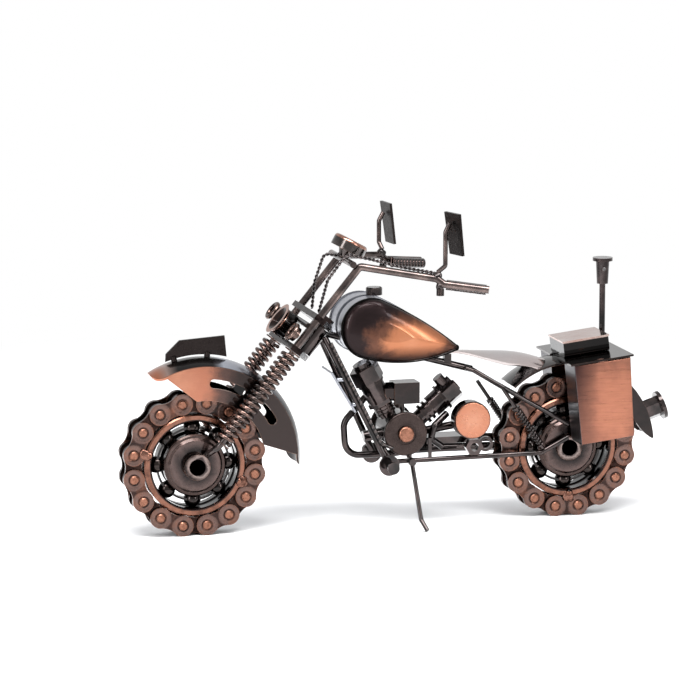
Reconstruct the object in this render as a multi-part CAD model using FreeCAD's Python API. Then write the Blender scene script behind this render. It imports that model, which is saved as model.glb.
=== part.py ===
import FreeCAD, Part
import math
import os

# Desk ornament: a cruiser motorcycle welded up from roller chain, ball bearings, rods, nuts and sheet.
# Millimetres. +X runs to the tail, -Y is the rider's left, +Z is up, and the floor is Z = 0.

V = FreeCAD.Vector

# ---------------------------------------------------------------- driving dimensions
WHEELBASE = 151.4          # front axle to rear axle
RAKE = 39.5                # steering axis from the vertical, degrees
RUN_GAP = 0.3              # air between pieces that move past each other
FIT_GAP = 0.02             # radial gap of a pressed or threaded fit
RACE_GAP = 0.05            # air between a ball and its race

# Chain tyre: a closed loop of 3/8 inch roller chain
CHAIN_PITCH = 9.525
CHAIN_PINS = 16
PLATE_END_R = 4.13
PLATE_WAIST = 3.1          # half height of a link plate at its middle
PIN_R = 1.64
ROLLER_R = 3.175
INNER_WIDTH = 5.72         # between the inner plates
INNER_PLATE_T = 1.3
OUTER_PLATE_T = 1.04
PLATE_GAP = 0.12
PIN_STICKOUT = 0.55
PIN_CHAMFER = 0.3

# Ball bearing inside each tyre
RING_SEAT = 0.28           # between the chain plates and the outer ring
RING_WALL = 2.9
BEARING_WIDTH = 12.0
BALL_R = 3.375
BALL_CIRCLE_INSET = 5.75   # ball circle inside the outer ring's rim
BALL_COUNT = 8
INNER_RING_INSET = 7.8
AXLE_TUBE_R = 5.1
AXLE_HOLE_R = 3.1
FRONT_AXLE_TUBE_LENGTH = 21.0
REAR_AXLE_TUBE_LENGTH = 16.4
HUB_DISC_INSET = 9.2
HUB_DISC_T = 0.9
CAGE_T = 0.9
CAGE_WIDTH = 4.6
BEAD_R = 1.5               # weld bead on the bearing ring

# Fork: distances S run up the fork line from the front axle, BACK runs square to it towards the rider
FORK_HALF_TRACK = 15.5
FORK_ROD_R = 1.25
FORK_TUBE_R = 1.5
ROD_BEND_S = 11.0
ROD_BEND_R = 4.0
HUB_JOIN_Y = 9.4
SPRING_SEAT_R = 3.5
SPRING_SEAT_T = 0.6
SPRING_LOW_S = 12.8
SPRING_HIGH_S = 57.2
SPRING_R = 3.0             # coil centre line
SPRING_WIRE_R = 0.78
FORK_COILS = 18
HEAD_SETBACK = 7.0         # steering axis behind the fork legs
HEAD_LOW_S = 60.6
HEAD_HIGH_S = 72.5
HEAD_TUBE_R = 4.0
STEM_R = 2.0
STEM_GAP = 0.06
CLAMP_T = 2.3
CLAMP_HALF_DEPTH = 2.4
WELD_GAP = 0.08            # air left at a weld, so that the two solids stay apart

# Handlebar, drawn for the left hand
BAR_BEND_S = 99.6
BAR_BEND_R = 4.5
BAR_TO_CLAMP = V(26.8, -14.5, -3.6)
CLAMP_JOG = V(2.4, -1.2, -2.0)
CLAMP_BEND_R = 1.8
BAR_END_RUN = V(16.2, -6.6, -1.9)
RIGHT_HAND_SET = V(-6.3, 0, 1.0)   # the right hand was bent further forward
RIGHT_MIRROR_SET = V(-3.3, 0, -4.4)
GRIP_R = 2.0
GRIP_LIFT = -0.6
KNOB_R = 1.5
KNOB_LENGTH = 2.6
CROSSBAR_R = 1.3
CROSSBAR_DROP = 1.1        # crossbar below the bars' bend
MIRROR_STEM_R = 0.9
MIRROR_STEM_RISE = V(3.2, -1.6, 19.0)
MIRROR_WIDTH = 9.0
MIRROR_TOP_WIDTH = 10.4
MIRROR_HEIGHT = 16.5
MIRROR_T = 1.0
MIRROR_YAW = 17.0
RIGHT_MIRROR_YAW = -7.0
MIRROR_LEAN = 7.5
SPEEDO_R = 6.95
SPEEDO_HEIGHT = 4.7
SPEEDO_ROUND = 1.3
SPEEDO_TILT = 28.5
SPEEDO_STALK_HEIGHT = 3.6
CABLE_R = 0.7

# Lamps on the fork
HEADLAMP_S = 64.7
HEADLAMP_R = 5.4
HEADLAMP_RIM_R = 6.75
HEADLAMP_LENGTH = 4.8
HEADLAMP_RIM_T = 1.2
LAMP_BAR_R = 1.2
LAMP_BAR_S = 69.3
SIGNAL_RING_R = 3.1
SIGNAL_WIRE_R = 0.9
SIGNAL_BODY_R = 3.0
SIGNAL_Y = 13.5
SIGNAL_S_LEFT = 63.8
SIGNAL_S_RIGHT = 66.2
SIGNAL_REACH_LEFT = 3.2
SIGNAL_REACH_RIGHT = 6.8

# Front fender
FENDER_OFFSET = V(3.5, 0, 2.2)     # its centre from the front axle
FENDER_CLEARANCE = 8.73    # fender edge outside the tyre's reach
FENDER_CROWN = 2.6
FENDER_HALF_WIDTH = 9.2
FENDER_LUG_INSET = 1.073      # the lug to the spring, inside the tyre's reach
FENDER_T = 0.8
FENDER_LOW_DEG = -6.0
FENDER_HIGH_DEG = 121.5
FENDER_CORNER_R = 4.4
SKIRT_DEPTH = 13.2
SKIRT_FRONT_DEG = 115.0
SKIRT_FRONT_LOW_DEG = 98.0
SKIRT_REAR_DEG = 1.0
SKIRT_REAR_LOW_DEG = 13.0
SLOT_INSET = 6.5
SLOT_HALF_WIDTH = 1.75
LUG_R = 1.5
PLATE_T = 1.0
PLATE_PEG_R = 1.2

# Rear fender, about the rear axle
REAR_FENDER_CLEARANCE = 6.73
REAR_FENDER_CROWN = 1.0
REAR_FENDER_LOW_DEG = 4.0
REAR_FENDER_HIGH_DEG = 132.5
TAIL_SKIRT_LOW_DEG = 4.0
TAIL_SKIRT_HIGH_DEG = 44.0
TAIL_SKIRT_DEPTH = 6.4

# Frame
DOWN_TUBE_R = 1.3
BACKBONE_R = 1.35
STRUT_R = 0.95
RAIL_R = 1.0
RAIL_Y = 9.25
SHOCK_Y = 10.2
SHOCK_ROD_R = 0.75
SHOCK_COIL_R = 1.25
SHOCK_WIRE_R = 0.35
SHOCK_COILS = 13
GUARD_T = 0.8
GUARD_HALF_WIDTH = 7.5

# Tank: two mirrored shells either side of the backbone
TANK_INNER_Y = 1.6
TANK_WALL_Y = 9.5
TANK_DOME_Y = 14.5
TANK_RIM_T = 0.6
CAP_R = 3.25
CAP_HEIGHT = 3.0

# Saddle
SEAT_T = 0.8
SEAT_CROWN_R = 13.0

# Luggage
PLATFORM_HALF_WIDTH = 22.7
PLATFORM_LENGTH = 26.0
PLATFORM_T = 0.7
PLATFORM_PITCH = 7.0
BOX_OUTER_Y = 22.5
TRUNK_LENGTH = 18.8
TRUNK_WIDTH = 18.0
TRUNK_HEIGHT = 6.0
TRUNK_LID_T = 0.6
ANTENNA_R = 1.2
ANTENNA_SLEEVE_LENGTH = 9.2
ANTENNA_HEIGHT = 34.8
ANTENNA_HEAD_R = 4.0
ANTENNA_HEAD_T = 1.3

# Tail lamp: a flanged nut on the rear fender
LAMP_DEG = 19.0
LAMP_HEX = 7.4
LAMP_FLANGE_R = 5.8
LAMP_FLANGE_T = 1.5
LAMP_STEM = 6.2            # hexagon from the fender to the flange

# Engine
CRANK_SETBACK = 83.2       # crank behind the front axle
CRANK_RISE = 9.33          # and above it
CRANKCASE_R = 7.6
CRANKCASE_HALF_WIDTH = 9.8
CRANK_COVER_R = 8.7
CRANK_COVER_T = 1.6
CRANK_CAP_R = 3.2
CYLINDER_Y = -2.0
FRONT_BARREL_R = 4.8
CARB_LENGTH = 10.2
AIR_CLEANER_R = 7.1
AIR_CLEANER_Y = -14.6
SILENCER_R = 1.7
SILENCER_Y = 12.1
PIPE_R = 1.35
PIPE_BEND_R = 6.0
PEG_WASHER_R = 4.1
PEG_BOLT_R = 1.9

# Kickstand
STAND_AHEAD = 2.4           # behind the crank
STAND_KNEE = 4.4            # height of the bend above the ground
STAND_R = 0.9
STAND_EYE_R = 1.6
STAND_EYE_T = 1.5
STAND_PIN_R = 0.8
STAND_PIN_HEAD_R = 1.4

# ---------------------------------------------------------------- reference points
PIN_CIRCLE_R = CHAIN_PITCH / (2.0 * math.sin(math.pi / CHAIN_PINS))
HALF_STEP = math.pi / CHAIN_PINS
AXLE_Z = PIN_CIRCLE_R * math.cos(HALF_STEP) + PLATE_END_R
TYRE_REACH = AXLE_Z
FENDER_EDGE_R = TYRE_REACH + FENDER_CLEARANCE
SKIRT_INNER_R = FENDER_EDGE_R - SKIRT_DEPTH
SLOT_R = FENDER_EDGE_R - SLOT_INSET
REAR_FENDER_EDGE_R = TYRE_REACH + REAR_FENDER_CLEARANCE
REAR_CREST_R = REAR_FENDER_EDGE_R + REAR_FENDER_CROWN
TAIL_SKIRT_INNER_R = REAR_FENDER_EDGE_R - TAIL_SKIRT_DEPTH
LAMP_TOP_R = REAR_CREST_R + WELD_GAP + LAMP_STEM + LAMP_FLANGE_T
LAMP_RAD = math.radians(LAMP_DEG)
TAIL_REACH = LAMP_TOP_R * math.cos(LAMP_RAD) + LAMP_FLANGE_R * math.sin(LAMP_RAD)
OVERALL_LENGTH = TYRE_REACH + WHEELBASE + TAIL_REACH
FRONT_X = -OVERALL_LENGTH / 2.0 + TYRE_REACH
REAR_X = FRONT_X + WHEELBASE
PLATE_OUTER_Y = INNER_WIDTH / 2.0 + INNER_PLATE_T + PLATE_GAP + OUTER_PLATE_T
PIN_END_Y = PLATE_OUTER_Y + PIN_STICKOUT
RING_R = PIN_CIRCLE_R - PLATE_END_R - RING_SEAT
BALL_CIRCLE_R = RING_R - BALL_CIRCLE_INSET
INNER_RING_R = RING_R - INNER_RING_INSET
HUB_DISC_R = RING_R - HUB_DISC_INSET
CROSSBAR_S = BAR_BEND_S - CROSSBAR_DROP

RAKE_RAD = math.radians(RAKE)
ALONG = V(math.sin(RAKE_RAD), 0, math.cos(RAKE_RAD))       # up the fork
BACK = V(math.cos(RAKE_RAD), 0, -math.sin(RAKE_RAD))       # square to it, towards the rider
AXLE_Y = V(0, 1, 0)
UP = V(0, 0, 1)

os.makedirs("parts", exist_ok=True)
NODES = {}


def save(name, *solids):
    """Write one node from one or more separate solids."""
    flat = []
    for item in solids:
        flat.extend(item.Solids)
    shape = flat[0] if len(flat) == 1 else Part.makeCompound(flat)
    NODES[name] = shape
    shape.exportStep("parts/" + name + ".step")


# ---------------------------------------------------------------- shape helpers
def fork(s, back=0.0, y=0.0):
    """A point s up the fork from the front axle, back from its line, and y to the side."""
    return V(FRONT_X, y, AXLE_Z) + ALONG * s + BACK * back


def rear(x, z, y=0.0):
    """A point measured from the rear axle."""
    return V(REAR_X + x, y, AXLE_Z + z)


def engine(x, z, y=0.0):
    """A point from the crank centre."""
    return V(FRONT_X + CRANK_SETBACK + x, y, AXLE_Z + CRANK_RISE + z)


def cylinder(start, end, radius):
    return Part.makeCylinder(radius, (end - start).Length, start, end - start)


def disc(centre, axis, radius, thickness):
    return Part.makeCylinder(radius, thickness, centre, axis)


def tube(start, end, outer, inner):
    return cylinder(start, end, outer).cut(cylinder(start, end, inner))


def mirrored(shape):
    return shape.mirror(V(0, 0, 0), AXLE_Y)


def both(shape):
    """The left piece and its mirror image on the right."""
    return [shape, mirrored(shape)]


def path_edges(points, bend):
    """Straight runs joined by tangent arcs, and the total length."""
    edges = []
    length = 0.0
    start = points[0]
    for index in range(1, len(points) - 1):
        corner = points[index]
        inward = (corner - points[index - 1]).normalize()
        outward = (points[index + 1] - corner).normalize()
        turn = inward.getAngle(outward)
        setback = bend * math.tan(turn / 2.0)
        arc_in = corner - inward * setback
        arc_out = corner + outward * setback
        bisector = (outward - inward).normalize()
        middle = corner + bisector * (bend / math.cos(turn / 2.0) - bend)
        edges.append(Part.makeLine(start, arc_in))
        edges.append(Part.Arc(arc_in, middle, arc_out).toShape())
        length += (arc_in - start).Length + bend * turn
        start = arc_out
    edges.append(Part.makeLine(start, points[-1]))
    length += (points[-1] - start).Length
    return edges, length


def rod(points, radius, bend):
    """A round rod along straight runs with tangent bends."""
    edges, length = path_edges(points, bend)
    spine = Part.Wire(edges)
    direction = points[1] - points[0]
    section = Part.Wire([Part.makeCircle(radius, points[0], direction)])
    solid = Part.Solid(spine.makePipeShell([section], True, True))
    if solid.Volume < 0:
        solid.reverse()
    expected = math.pi * radius ** 2 * length
    assert abs(solid.Volume / expected - 1.0) < 0.02, "rod volume is off"
    return solid


def polygon_prism(points, offset):
    """A flat outline extruded by a vector."""
    wire = Part.makePolygon(points + [points[0]])
    return Part.Face(wire).extrude(offset)


def side_prism(points, y_low, y_high):
    """An outline of (x, z) pairs extruded across the machine."""
    return polygon_prism([V(x, y_low, z) for x, z in points], V(0, y_high - y_low, 0))


def hex_prism(centre, axis, across_flats, height):
    """A hexagon bar, standing on its centre along an axis."""
    radius = across_flats / math.sqrt(3.0)
    corners = []
    for index in range(6):
        angle = math.radians(60 * index)
        corners.append(V(radius * math.cos(angle), radius * math.sin(angle), 0))
    bar = polygon_prism(corners, V(0, 0, height))
    turn = FreeCAD.Rotation(UP, axis)
    bar.Placement = FreeCAD.Placement(centre, turn)
    return bar


def coil(base, axis, radius, wire_r, turns, height):
    """A round wire helix standing on a point along an axis."""
    pitch = height / turns
    helix = Part.makeHelix(pitch, height, radius)
    slope = V(0, 2.0 * math.pi * radius, pitch)
    section = Part.Wire([Part.makeCircle(wire_r, V(radius, 0, 0), slope)])
    solid = Part.Solid(Part.Wire(helix.Edges).makePipeShell([section], True, True))
    if solid.Volume < 0:
        solid.reverse()
    solid.Placement = FreeCAD.Placement(base, FreeCAD.Rotation(UP, axis))
    return solid


def annular_sector(centre, r_in, r_out, deg_low, deg_high, y_low, y_high):
    """A flat ring sector in the XZ plane with some width along Y."""
    low = math.radians(deg_low)
    high = math.radians(deg_high)
    mid = (low + high) / 2.0

    def at(radius, angle):
        return V(centre.x + radius * math.cos(angle), y_low, centre.z + radius * math.sin(angle))

    edges = [
        Part.makeLine(at(r_in, low), at(r_out, low)),
        Part.Arc(at(r_out, low), at(r_out, mid), at(r_out, high)).toShape(),
        Part.makeLine(at(r_out, high), at(r_in, high)),
        Part.Arc(at(r_in, high), at(r_in, mid), at(r_in, low)).toShape(),
    ]
    return Part.Face(Part.Wire(edges)).extrude(V(0, y_high - y_low, 0))


def arc_slot(centre, radius, half_width, deg_low, deg_high, y_low, y_high):
    """A slot that follows a circle, with round ends."""
    slot = annular_sector(centre, radius - half_width, radius + half_width, deg_low, deg_high, y_low, y_high)
    for deg in (deg_low, deg_high):
        angle = math.radians(deg)
        end = V(centre.x + radius * math.cos(angle), y_low, centre.z + radius * math.sin(angle))
        slot = slot.fuse(disc(end, AXLE_Y, half_width, y_high - y_low))
    return slot


# ---------------------------------------------------------------- wheels
def plate_blank():
    """Outline of one link plate in the XZ plane: two round ends and a waist, centred on the link."""
    half = CHAIN_PITCH / 2.0
    drop = PLATE_END_R - PLATE_WAIST
    waist_z = (half ** 2 - drop ** 2) / (2.0 * drop)
    waist_r = waist_z - PLATE_WAIST
    share = PLATE_END_R / (PLATE_END_R + waist_r)
    touch = V(half * (1.0 - share), 0, waist_z * share)
    right_top = touch
    left_top = V(-touch.x, 0, touch.z)
    left_low = V(-touch.x, 0, -touch.z)
    right_low = V(touch.x, 0, -touch.z)
    edges = [
        Part.Arc(right_low, V(half + PLATE_END_R, 0, 0), right_top).toShape(),
        Part.Arc(right_top, V(0, 0, PLATE_WAIST), left_top).toShape(),
        Part.Arc(left_top, V(-half - PLATE_END_R, 0, 0), left_low).toShape(),
        Part.Arc(left_low, V(0, 0, -PLATE_WAIST), right_low).toShape(),
    ]
    return Part.Face(Part.Wire(edges))


def link_plates(centre_x, first_pin_deg, parity, y_near, thickness):
    """Every second link's two plates, one each side, bored for their pins."""
    hole_r = PIN_R + FIT_GAP
    chord_r = PIN_CIRCLE_R * math.cos(HALF_STEP)
    solids = []
    for index in range(parity, CHAIN_PINS, 2):
        link_deg = first_pin_deg + math.degrees((2 * index + 1) * HALF_STEP)
        angle = math.radians(link_deg)
        for low in (-y_near - thickness, y_near):
            plate = plate_blank().extrude(V(0, thickness, 0))
            for side in (-1, 1):
                start = V(side * CHAIN_PITCH / 2.0, -thickness, 0)
                plate = plate.cut(disc(start, AXLE_Y, hole_r, 3.0 * thickness))
            plate.rotate(V(0, 0, 0), AXLE_Y, -(link_deg + 90.0))
            plate.translate(V(
                centre_x + chord_r * math.cos(angle),
                low,
                AXLE_Z + chord_r * math.sin(angle),
            ))
            solids.append(plate)
    return solids


def pin_centres(centre_x, first_pin_deg):
    for index in range(CHAIN_PINS):
        angle = math.radians(first_pin_deg) + 2.0 * index * HALF_STEP
        yield V(centre_x + PIN_CIRCLE_R * math.cos(angle), 0, AXLE_Z + PIN_CIRCLE_R * math.sin(angle))


def chain_pins(centre_x, first_pin_deg):
    solids = []
    for centre in pin_centres(centre_x, first_pin_deg):
        pin = disc(centre - AXLE_Y * PIN_END_Y, AXLE_Y, PIN_R, 2.0 * PIN_END_Y)
        rims = [edge for edge in pin.Edges if abs(abs(edge.CenterOfMass.y) - PIN_END_Y) < 1e-6]
        solids.append(pin.makeChamfer(PIN_CHAMFER, rims))
    return solids


def chain_rollers(centre_x, first_pin_deg):
    half = INNER_WIDTH / 2.0 - FIT_GAP
    solids = []
    for centre in pin_centres(centre_x, first_pin_deg):
        start = centre - AXLE_Y * half
        end = centre + AXLE_Y * half
        solids.append(tube(start, end, ROLLER_R, PIN_R + FIT_GAP))
    return solids


def race_groove(centre):
    return Part.makeTorus(BALL_CIRCLE_R, BALL_R + RACE_GAP, centre, AXLE_Y)


def chamfered_ring(centre, outer, inner, width, chamfer):
    """A plain ring across the machine with its four edges broken."""
    start = centre - AXLE_Y * (width / 2.0)
    end = centre + AXLE_Y * (width / 2.0)
    ring = tube(start, end, outer, inner)
    rims = [edge for edge in ring.Edges if abs(abs(edge.CenterOfMass.y) - width / 2.0) < 1e-6]
    return ring.makeChamfer(chamfer, rims)


def make_wheel(prefix, centre_x, first_pin_deg, axle_tube_length, bead_degrees):
    centre = V(centre_x, 0, AXLE_Z)
    inner_y = INNER_WIDTH / 2.0
    outer_y = inner_y + INNER_PLATE_T + PLATE_GAP
    save(prefix + "_outer_link_plates", *link_plates(centre_x, first_pin_deg, 1, outer_y, OUTER_PLATE_T))
    save(prefix + "_inner_link_plates", *link_plates(centre_x, first_pin_deg, 0, inner_y, INNER_PLATE_T))
    save(prefix + "_chain_pins", *chain_pins(centre_x, first_pin_deg))
    save(prefix + "_chain_rollers", *chain_rollers(centre_x, first_pin_deg))

    race = chamfered_ring(centre, RING_R, RING_R - RING_WALL, BEARING_WIDTH, 0.5).cut(race_groove(centre))
    beads = []
    for degrees in bead_degrees:
        angle = math.radians(degrees)
        seat_r = RING_R - BEAD_R
        seat = centre + V(seat_r * math.cos(angle), 0, seat_r * math.sin(angle))
        for side in (-1, 1):
            face = seat + AXLE_Y * (side * BEARING_WIDTH / 2.0)
            ball = Part.makeSphere(BEAD_R, face)
            outside = disc(face, AXLE_Y * side, 2.0 * BEAD_R, 2.0 * BEAD_R)
            beads.append(ball.common(outside))
    save(prefix + "_bearing_outer_ring", race, *beads)

    balls = []
    band_r = CAGE_T / 2.0
    half = AXLE_Y * (CAGE_WIDTH / 2.0)
    cage = tube(centre - half, centre + half, BALL_CIRCLE_R + band_r, BALL_CIRCLE_R - band_r)
    for index in range(BALL_COUNT):
        angle = 2.0 * math.pi * index / BALL_COUNT
        spot = centre + V(BALL_CIRCLE_R * math.cos(angle), 0, BALL_CIRCLE_R * math.sin(angle))
        balls.append(Part.makeSphere(BALL_R, spot))
        cage = cage.cut(Part.makeSphere(BALL_R + RACE_GAP, spot))
    save(prefix + "_bearing_balls", *balls)

    ring = chamfered_ring(centre, INNER_RING_R, AXLE_TUBE_R + FIT_GAP, BEARING_WIDTH, 0.5)
    ring = ring.cut(race_groove(centre))
    discs = []
    for side in (-1, 1):
        face = centre + AXLE_Y * (side * BEARING_WIDTH / 2.0)
        dome = Part.makeCone(HUB_DISC_R, HUB_DISC_R - HUB_DISC_T, HUB_DISC_T, face, AXLE_Y * side)
        discs.append(dome.cut(disc(face, AXLE_Y * side, AXLE_TUBE_R + FIT_GAP, HUB_DISC_T)))
    save(prefix + "_hub_rings", ring, *discs)

    half = AXLE_Y * (axle_tube_length / 2.0)
    save(prefix + "_axle_tube", tube(centre - half, centre + half, AXLE_TUBE_R, AXLE_HOLE_R))
    return cage


FRONT_PIN_DEG = 270.0 - 6.5 * 360.0 / CHAIN_PINS
REAR_PIN_DEG = 270.0 - 7.5 * 360.0 / CHAIN_PINS
front_cage = make_wheel("front", FRONT_X, FRONT_PIN_DEG, FRONT_AXLE_TUBE_LENGTH, (165.0, -22.0))
rear_cage = make_wheel("rear", REAR_X, REAR_PIN_DEG, REAR_AXLE_TUBE_LENGTH, (-88.0, 40.0))
save("front_ball_cage", front_cage)
save("rear_ball_cage", rear_cage)


# ---------------------------------------------------------------- fork
def fork_leg_line(y):
    """Point on a leg's centre line as a function of the distance up the fork."""
    return lambda s, back=0.0: fork(s, back, y)


leg = fork_leg_line(-FORK_HALF_TRACK)
hub_join_s = AXLE_TUBE_R + FORK_ROD_R - 0.3
tube_low_s = SPRING_HIGH_S + SPRING_SEAT_T + WELD_GAP
left_rod = rod(
    [fork(hub_join_s, 0, -HUB_JOIN_Y), leg(ROD_BEND_S), leg(tube_low_s - WELD_GAP)],
    FORK_ROD_R, ROD_BEND_R,
)
save("fork_rods", *both(left_rod))

seat_low = tube(leg(SPRING_LOW_S), leg(SPRING_LOW_S + SPRING_SEAT_T), SPRING_SEAT_R, FORK_ROD_R + FIT_GAP)
seat_high = tube(leg(SPRING_HIGH_S), leg(SPRING_HIGH_S + SPRING_SEAT_T), SPRING_SEAT_R, FORK_ROD_R + FIT_GAP)
coil_low_s = SPRING_LOW_S + SPRING_SEAT_T + SPRING_WIRE_R + WELD_GAP
coil_high_s = SPRING_HIGH_S - SPRING_WIRE_R - WELD_GAP
spring = coil(leg(coil_low_s), ALONG, SPRING_R, SPRING_WIRE_R, FORK_COILS, coil_high_s - coil_low_s)
save("fork_springs", *both(spring), *both(seat_low), *both(seat_high))

# Handlebar: one rod a side from the top of the spring to the hand, then a threaded stud as the grip
bar_bend = leg(BAR_BEND_S)
grip_reach = FORK_TUBE_R + GRIP_R + WELD_GAP
grip_side = math.sqrt(grip_reach ** 2 - GRIP_LIFT ** 2) * BAR_END_RUN.Length / BAR_END_RUN.x
half_low = MIRROR_WIDTH / 2.0
half_top = MIRROR_TOP_WIDTH / 2.0
half_tall = MIRROR_HEIGHT / 2.0


def hand_set(hand_shift, mirror_shift, mirror_yaw):
    """Bar, grip with knob, mirror stem and mirror plate, all drawn for the left hand."""
    hand = bar_bend + BAR_TO_CLAMP + hand_shift
    jog = hand + CLAMP_JOG
    end = jog + BAR_END_RUN
    bar = rod([leg(tube_low_s), bar_bend, hand, jog, end], FORK_TUBE_R, CLAMP_BEND_R)
    grip_shift = V(0, grip_side, GRIP_LIFT)
    grip = cylinder(jog + grip_shift + BAR_END_RUN * 0.12, end + grip_shift, GRIP_R)
    knob_top = hand + V(1.2, -0.6, -2.4 - FORK_TUBE_R)
    knob = cylinder(knob_top, knob_top - UP * KNOB_LENGTH, KNOB_R)
    foot = hand + V(0.6, 0.6, FORK_TUBE_R + MIRROR_STEM_R + WELD_GAP)
    elbow = foot + V(2.4 + mirror_shift.x, -1.8, 2.6)
    tip = foot + MIRROR_STEM_RISE + V(0.9, 0, 0) + mirror_shift
    shoulder = V(elbow.x, elbow.y, tip.z - 3.4)
    stem = rod([foot, elbow, shoulder, tip], MIRROR_STEM_R, 1.4)
    plate = polygon_prism([
        V(0, -half_low, -half_tall), V(0, half_low, -half_tall),
        V(0, half_top, half_tall), V(0, -half_top, half_tall),
    ], V(MIRROR_T, 0, 0))
    plate.rotate(V(0, 0, 0), AXLE_Y, -MIRROR_LEAN)
    plate.rotate(V(0, 0, 0), UP, mirror_yaw)
    plate.translate(tip + V(MIRROR_STEM_R + 0.75, 0, -4.3))
    return bar, grip, knob, stem, plate


left_set = hand_set(V(0, 0, 0), V(0, 0, 0), MIRROR_YAW)
right_set = [mirrored(shape) for shape in hand_set(RIGHT_HAND_SET, RIGHT_MIRROR_SET, RIGHT_MIRROR_YAW)]
hand_clamp = bar_bend + BAR_TO_CLAMP
crossbar_back = -(FORK_TUBE_R + CROSSBAR_R + WELD_GAP)
crossbar_end = fork(CROSSBAR_S, crossbar_back, -FORK_HALF_TRACK - FORK_TUBE_R)
crossbar = cylinder(crossbar_end, V(crossbar_end.x, -crossbar_end.y, crossbar_end.z), CROSSBAR_R)
save("handlebars", left_set[0], right_set[0], crossbar)
save("grips", left_set[1], right_set[1], left_set[2], right_set[2])

# Mirrors stand on the hand clamps
save("mirror_stems", left_set[3], right_set[3])
save("mirror_plates", left_set[4], right_set[4])

# Steering clamps, one under and one over the head tube, on a stem that turns in it
head_low = fork(HEAD_LOW_S, HEAD_SETBACK)
head_high = fork(HEAD_HIGH_S, HEAD_SETBACK)


def steering_clamp(low_s):
    """A plate across both legs with a tongue back to the stem."""
    def at(back, y):
        return fork(low_s, back, y)
    lobe = HEAD_TUBE_R
    outline = [
        at(-CLAMP_HALF_DEPTH, -FORK_HALF_TRACK - CLAMP_HALF_DEPTH),
        at(-CLAMP_HALF_DEPTH, FORK_HALF_TRACK + CLAMP_HALF_DEPTH),
        at(CLAMP_HALF_DEPTH, FORK_HALF_TRACK + CLAMP_HALF_DEPTH),
        at(HEAD_SETBACK + lobe * 0.7, lobe),
        at(HEAD_SETBACK + lobe * 0.7, -lobe),
        at(CLAMP_HALF_DEPTH, -FORK_HALF_TRACK - CLAMP_HALF_DEPTH),
    ]
    plate = polygon_prism(outline, ALONG * CLAMP_T)
    for y in (-FORK_HALF_TRACK, FORK_HALF_TRACK):
        plate = plate.cut(cylinder(fork(low_s - 1, 0, y), fork(low_s + CLAMP_T + 1, 0, y), FORK_TUBE_R + FIT_GAP))
    hole_low = fork(low_s - 1, HEAD_SETBACK)
    return plate.cut(cylinder(hole_low, hole_low + ALONG * (CLAMP_T + 2), STEM_R + FIT_GAP))


low_clamp_s = HEAD_LOW_S - RUN_GAP - CLAMP_T
high_clamp_s = HEAD_HIGH_S + RUN_GAP
low_clamp = steering_clamp(low_clamp_s)
high_clamp = steering_clamp(high_clamp_s)
stem_low = fork(low_clamp_s, HEAD_SETBACK)
stem_high = fork(high_clamp_s + CLAMP_T, HEAD_SETBACK)
steering_stem = cylinder(stem_low, stem_high, STEM_R)
stem_cap = hex_prism(stem_high + ALONG * FIT_GAP, ALONG, 6.0, 2.0)
save("fork_clamps", low_clamp, high_clamp, steering_stem, stem_cap)

# Headlamp on a bar between the legs
lamp_bar_end = fork(LAMP_BAR_S, -FORK_TUBE_R, -FORK_HALF_TRACK)
lamp_bar = cylinder(lamp_bar_end, V(lamp_bar_end.x, -lamp_bar_end.y, lamp_bar_end.z), LAMP_BAR_R)
for y in (-FORK_HALF_TRACK, FORK_HALF_TRACK):
    lamp_bar = lamp_bar.cut(cylinder(fork(LAMP_BAR_S - 4, 0, y), fork(LAMP_BAR_S + 4, 0, y), FORK_TUBE_R + FIT_GAP))
lamp_back = -(FORK_TUBE_R + LAMP_BAR_R + WELD_GAP)
lamp_rear = fork(HEADLAMP_S, lamp_back)
lamp_front = fork(HEADLAMP_S, lamp_back - HEADLAMP_LENGTH)
ahead = BACK * -1.0
shell = cylinder(lamp_rear, lamp_front, HEADLAMP_R)
rim = Part.makeCone(HEADLAMP_R, HEADLAMP_RIM_R, HEADLAMP_RIM_T, lamp_front, ahead)
bowl = Part.makeCone(1.6, HEADLAMP_R - 0.4, 3.4, lamp_front + ahead * (HEADLAMP_RIM_T - 3.39), ahead)
save("headlamp", shell.fuse(rim).cut(bowl).removeSplitter(), lamp_bar)


def turn_signal(s, reach, y):
    """A round ring on a short drum; a stalk takes up what the drum leaves."""
    drum_t = 1.3
    face = fork(s, -FORK_TUBE_R - reach, y)
    solids = [Part.makeTorus(SIGNAL_RING_R, SIGNAL_WIRE_R, face, ahead)]
    drum_front = face + BACK * SIGNAL_WIRE_R
    drum = disc(drum_front, BACK, SIGNAL_BODY_R, drum_t)
    drum_back = -FORK_TUBE_R - reach + SIGNAL_WIRE_R + drum_t
    if drum_back < -FORK_TUBE_R - 2.0 * WELD_GAP:
        stalk = cylinder(drum_front, fork(s, -FORK_TUBE_R - 2.0 * WELD_GAP, y), 1.1)
        drum = drum.fuse(stalk)
    return [drum.fuse(solids[0])]


left_signal = turn_signal(SIGNAL_S_LEFT, SIGNAL_REACH_LEFT, -SIGNAL_Y)
right_signal = turn_signal(SIGNAL_S_RIGHT, SIGNAL_REACH_RIGHT, SIGNAL_Y)
save("turn_signals", *left_signal, *right_signal)

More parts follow.
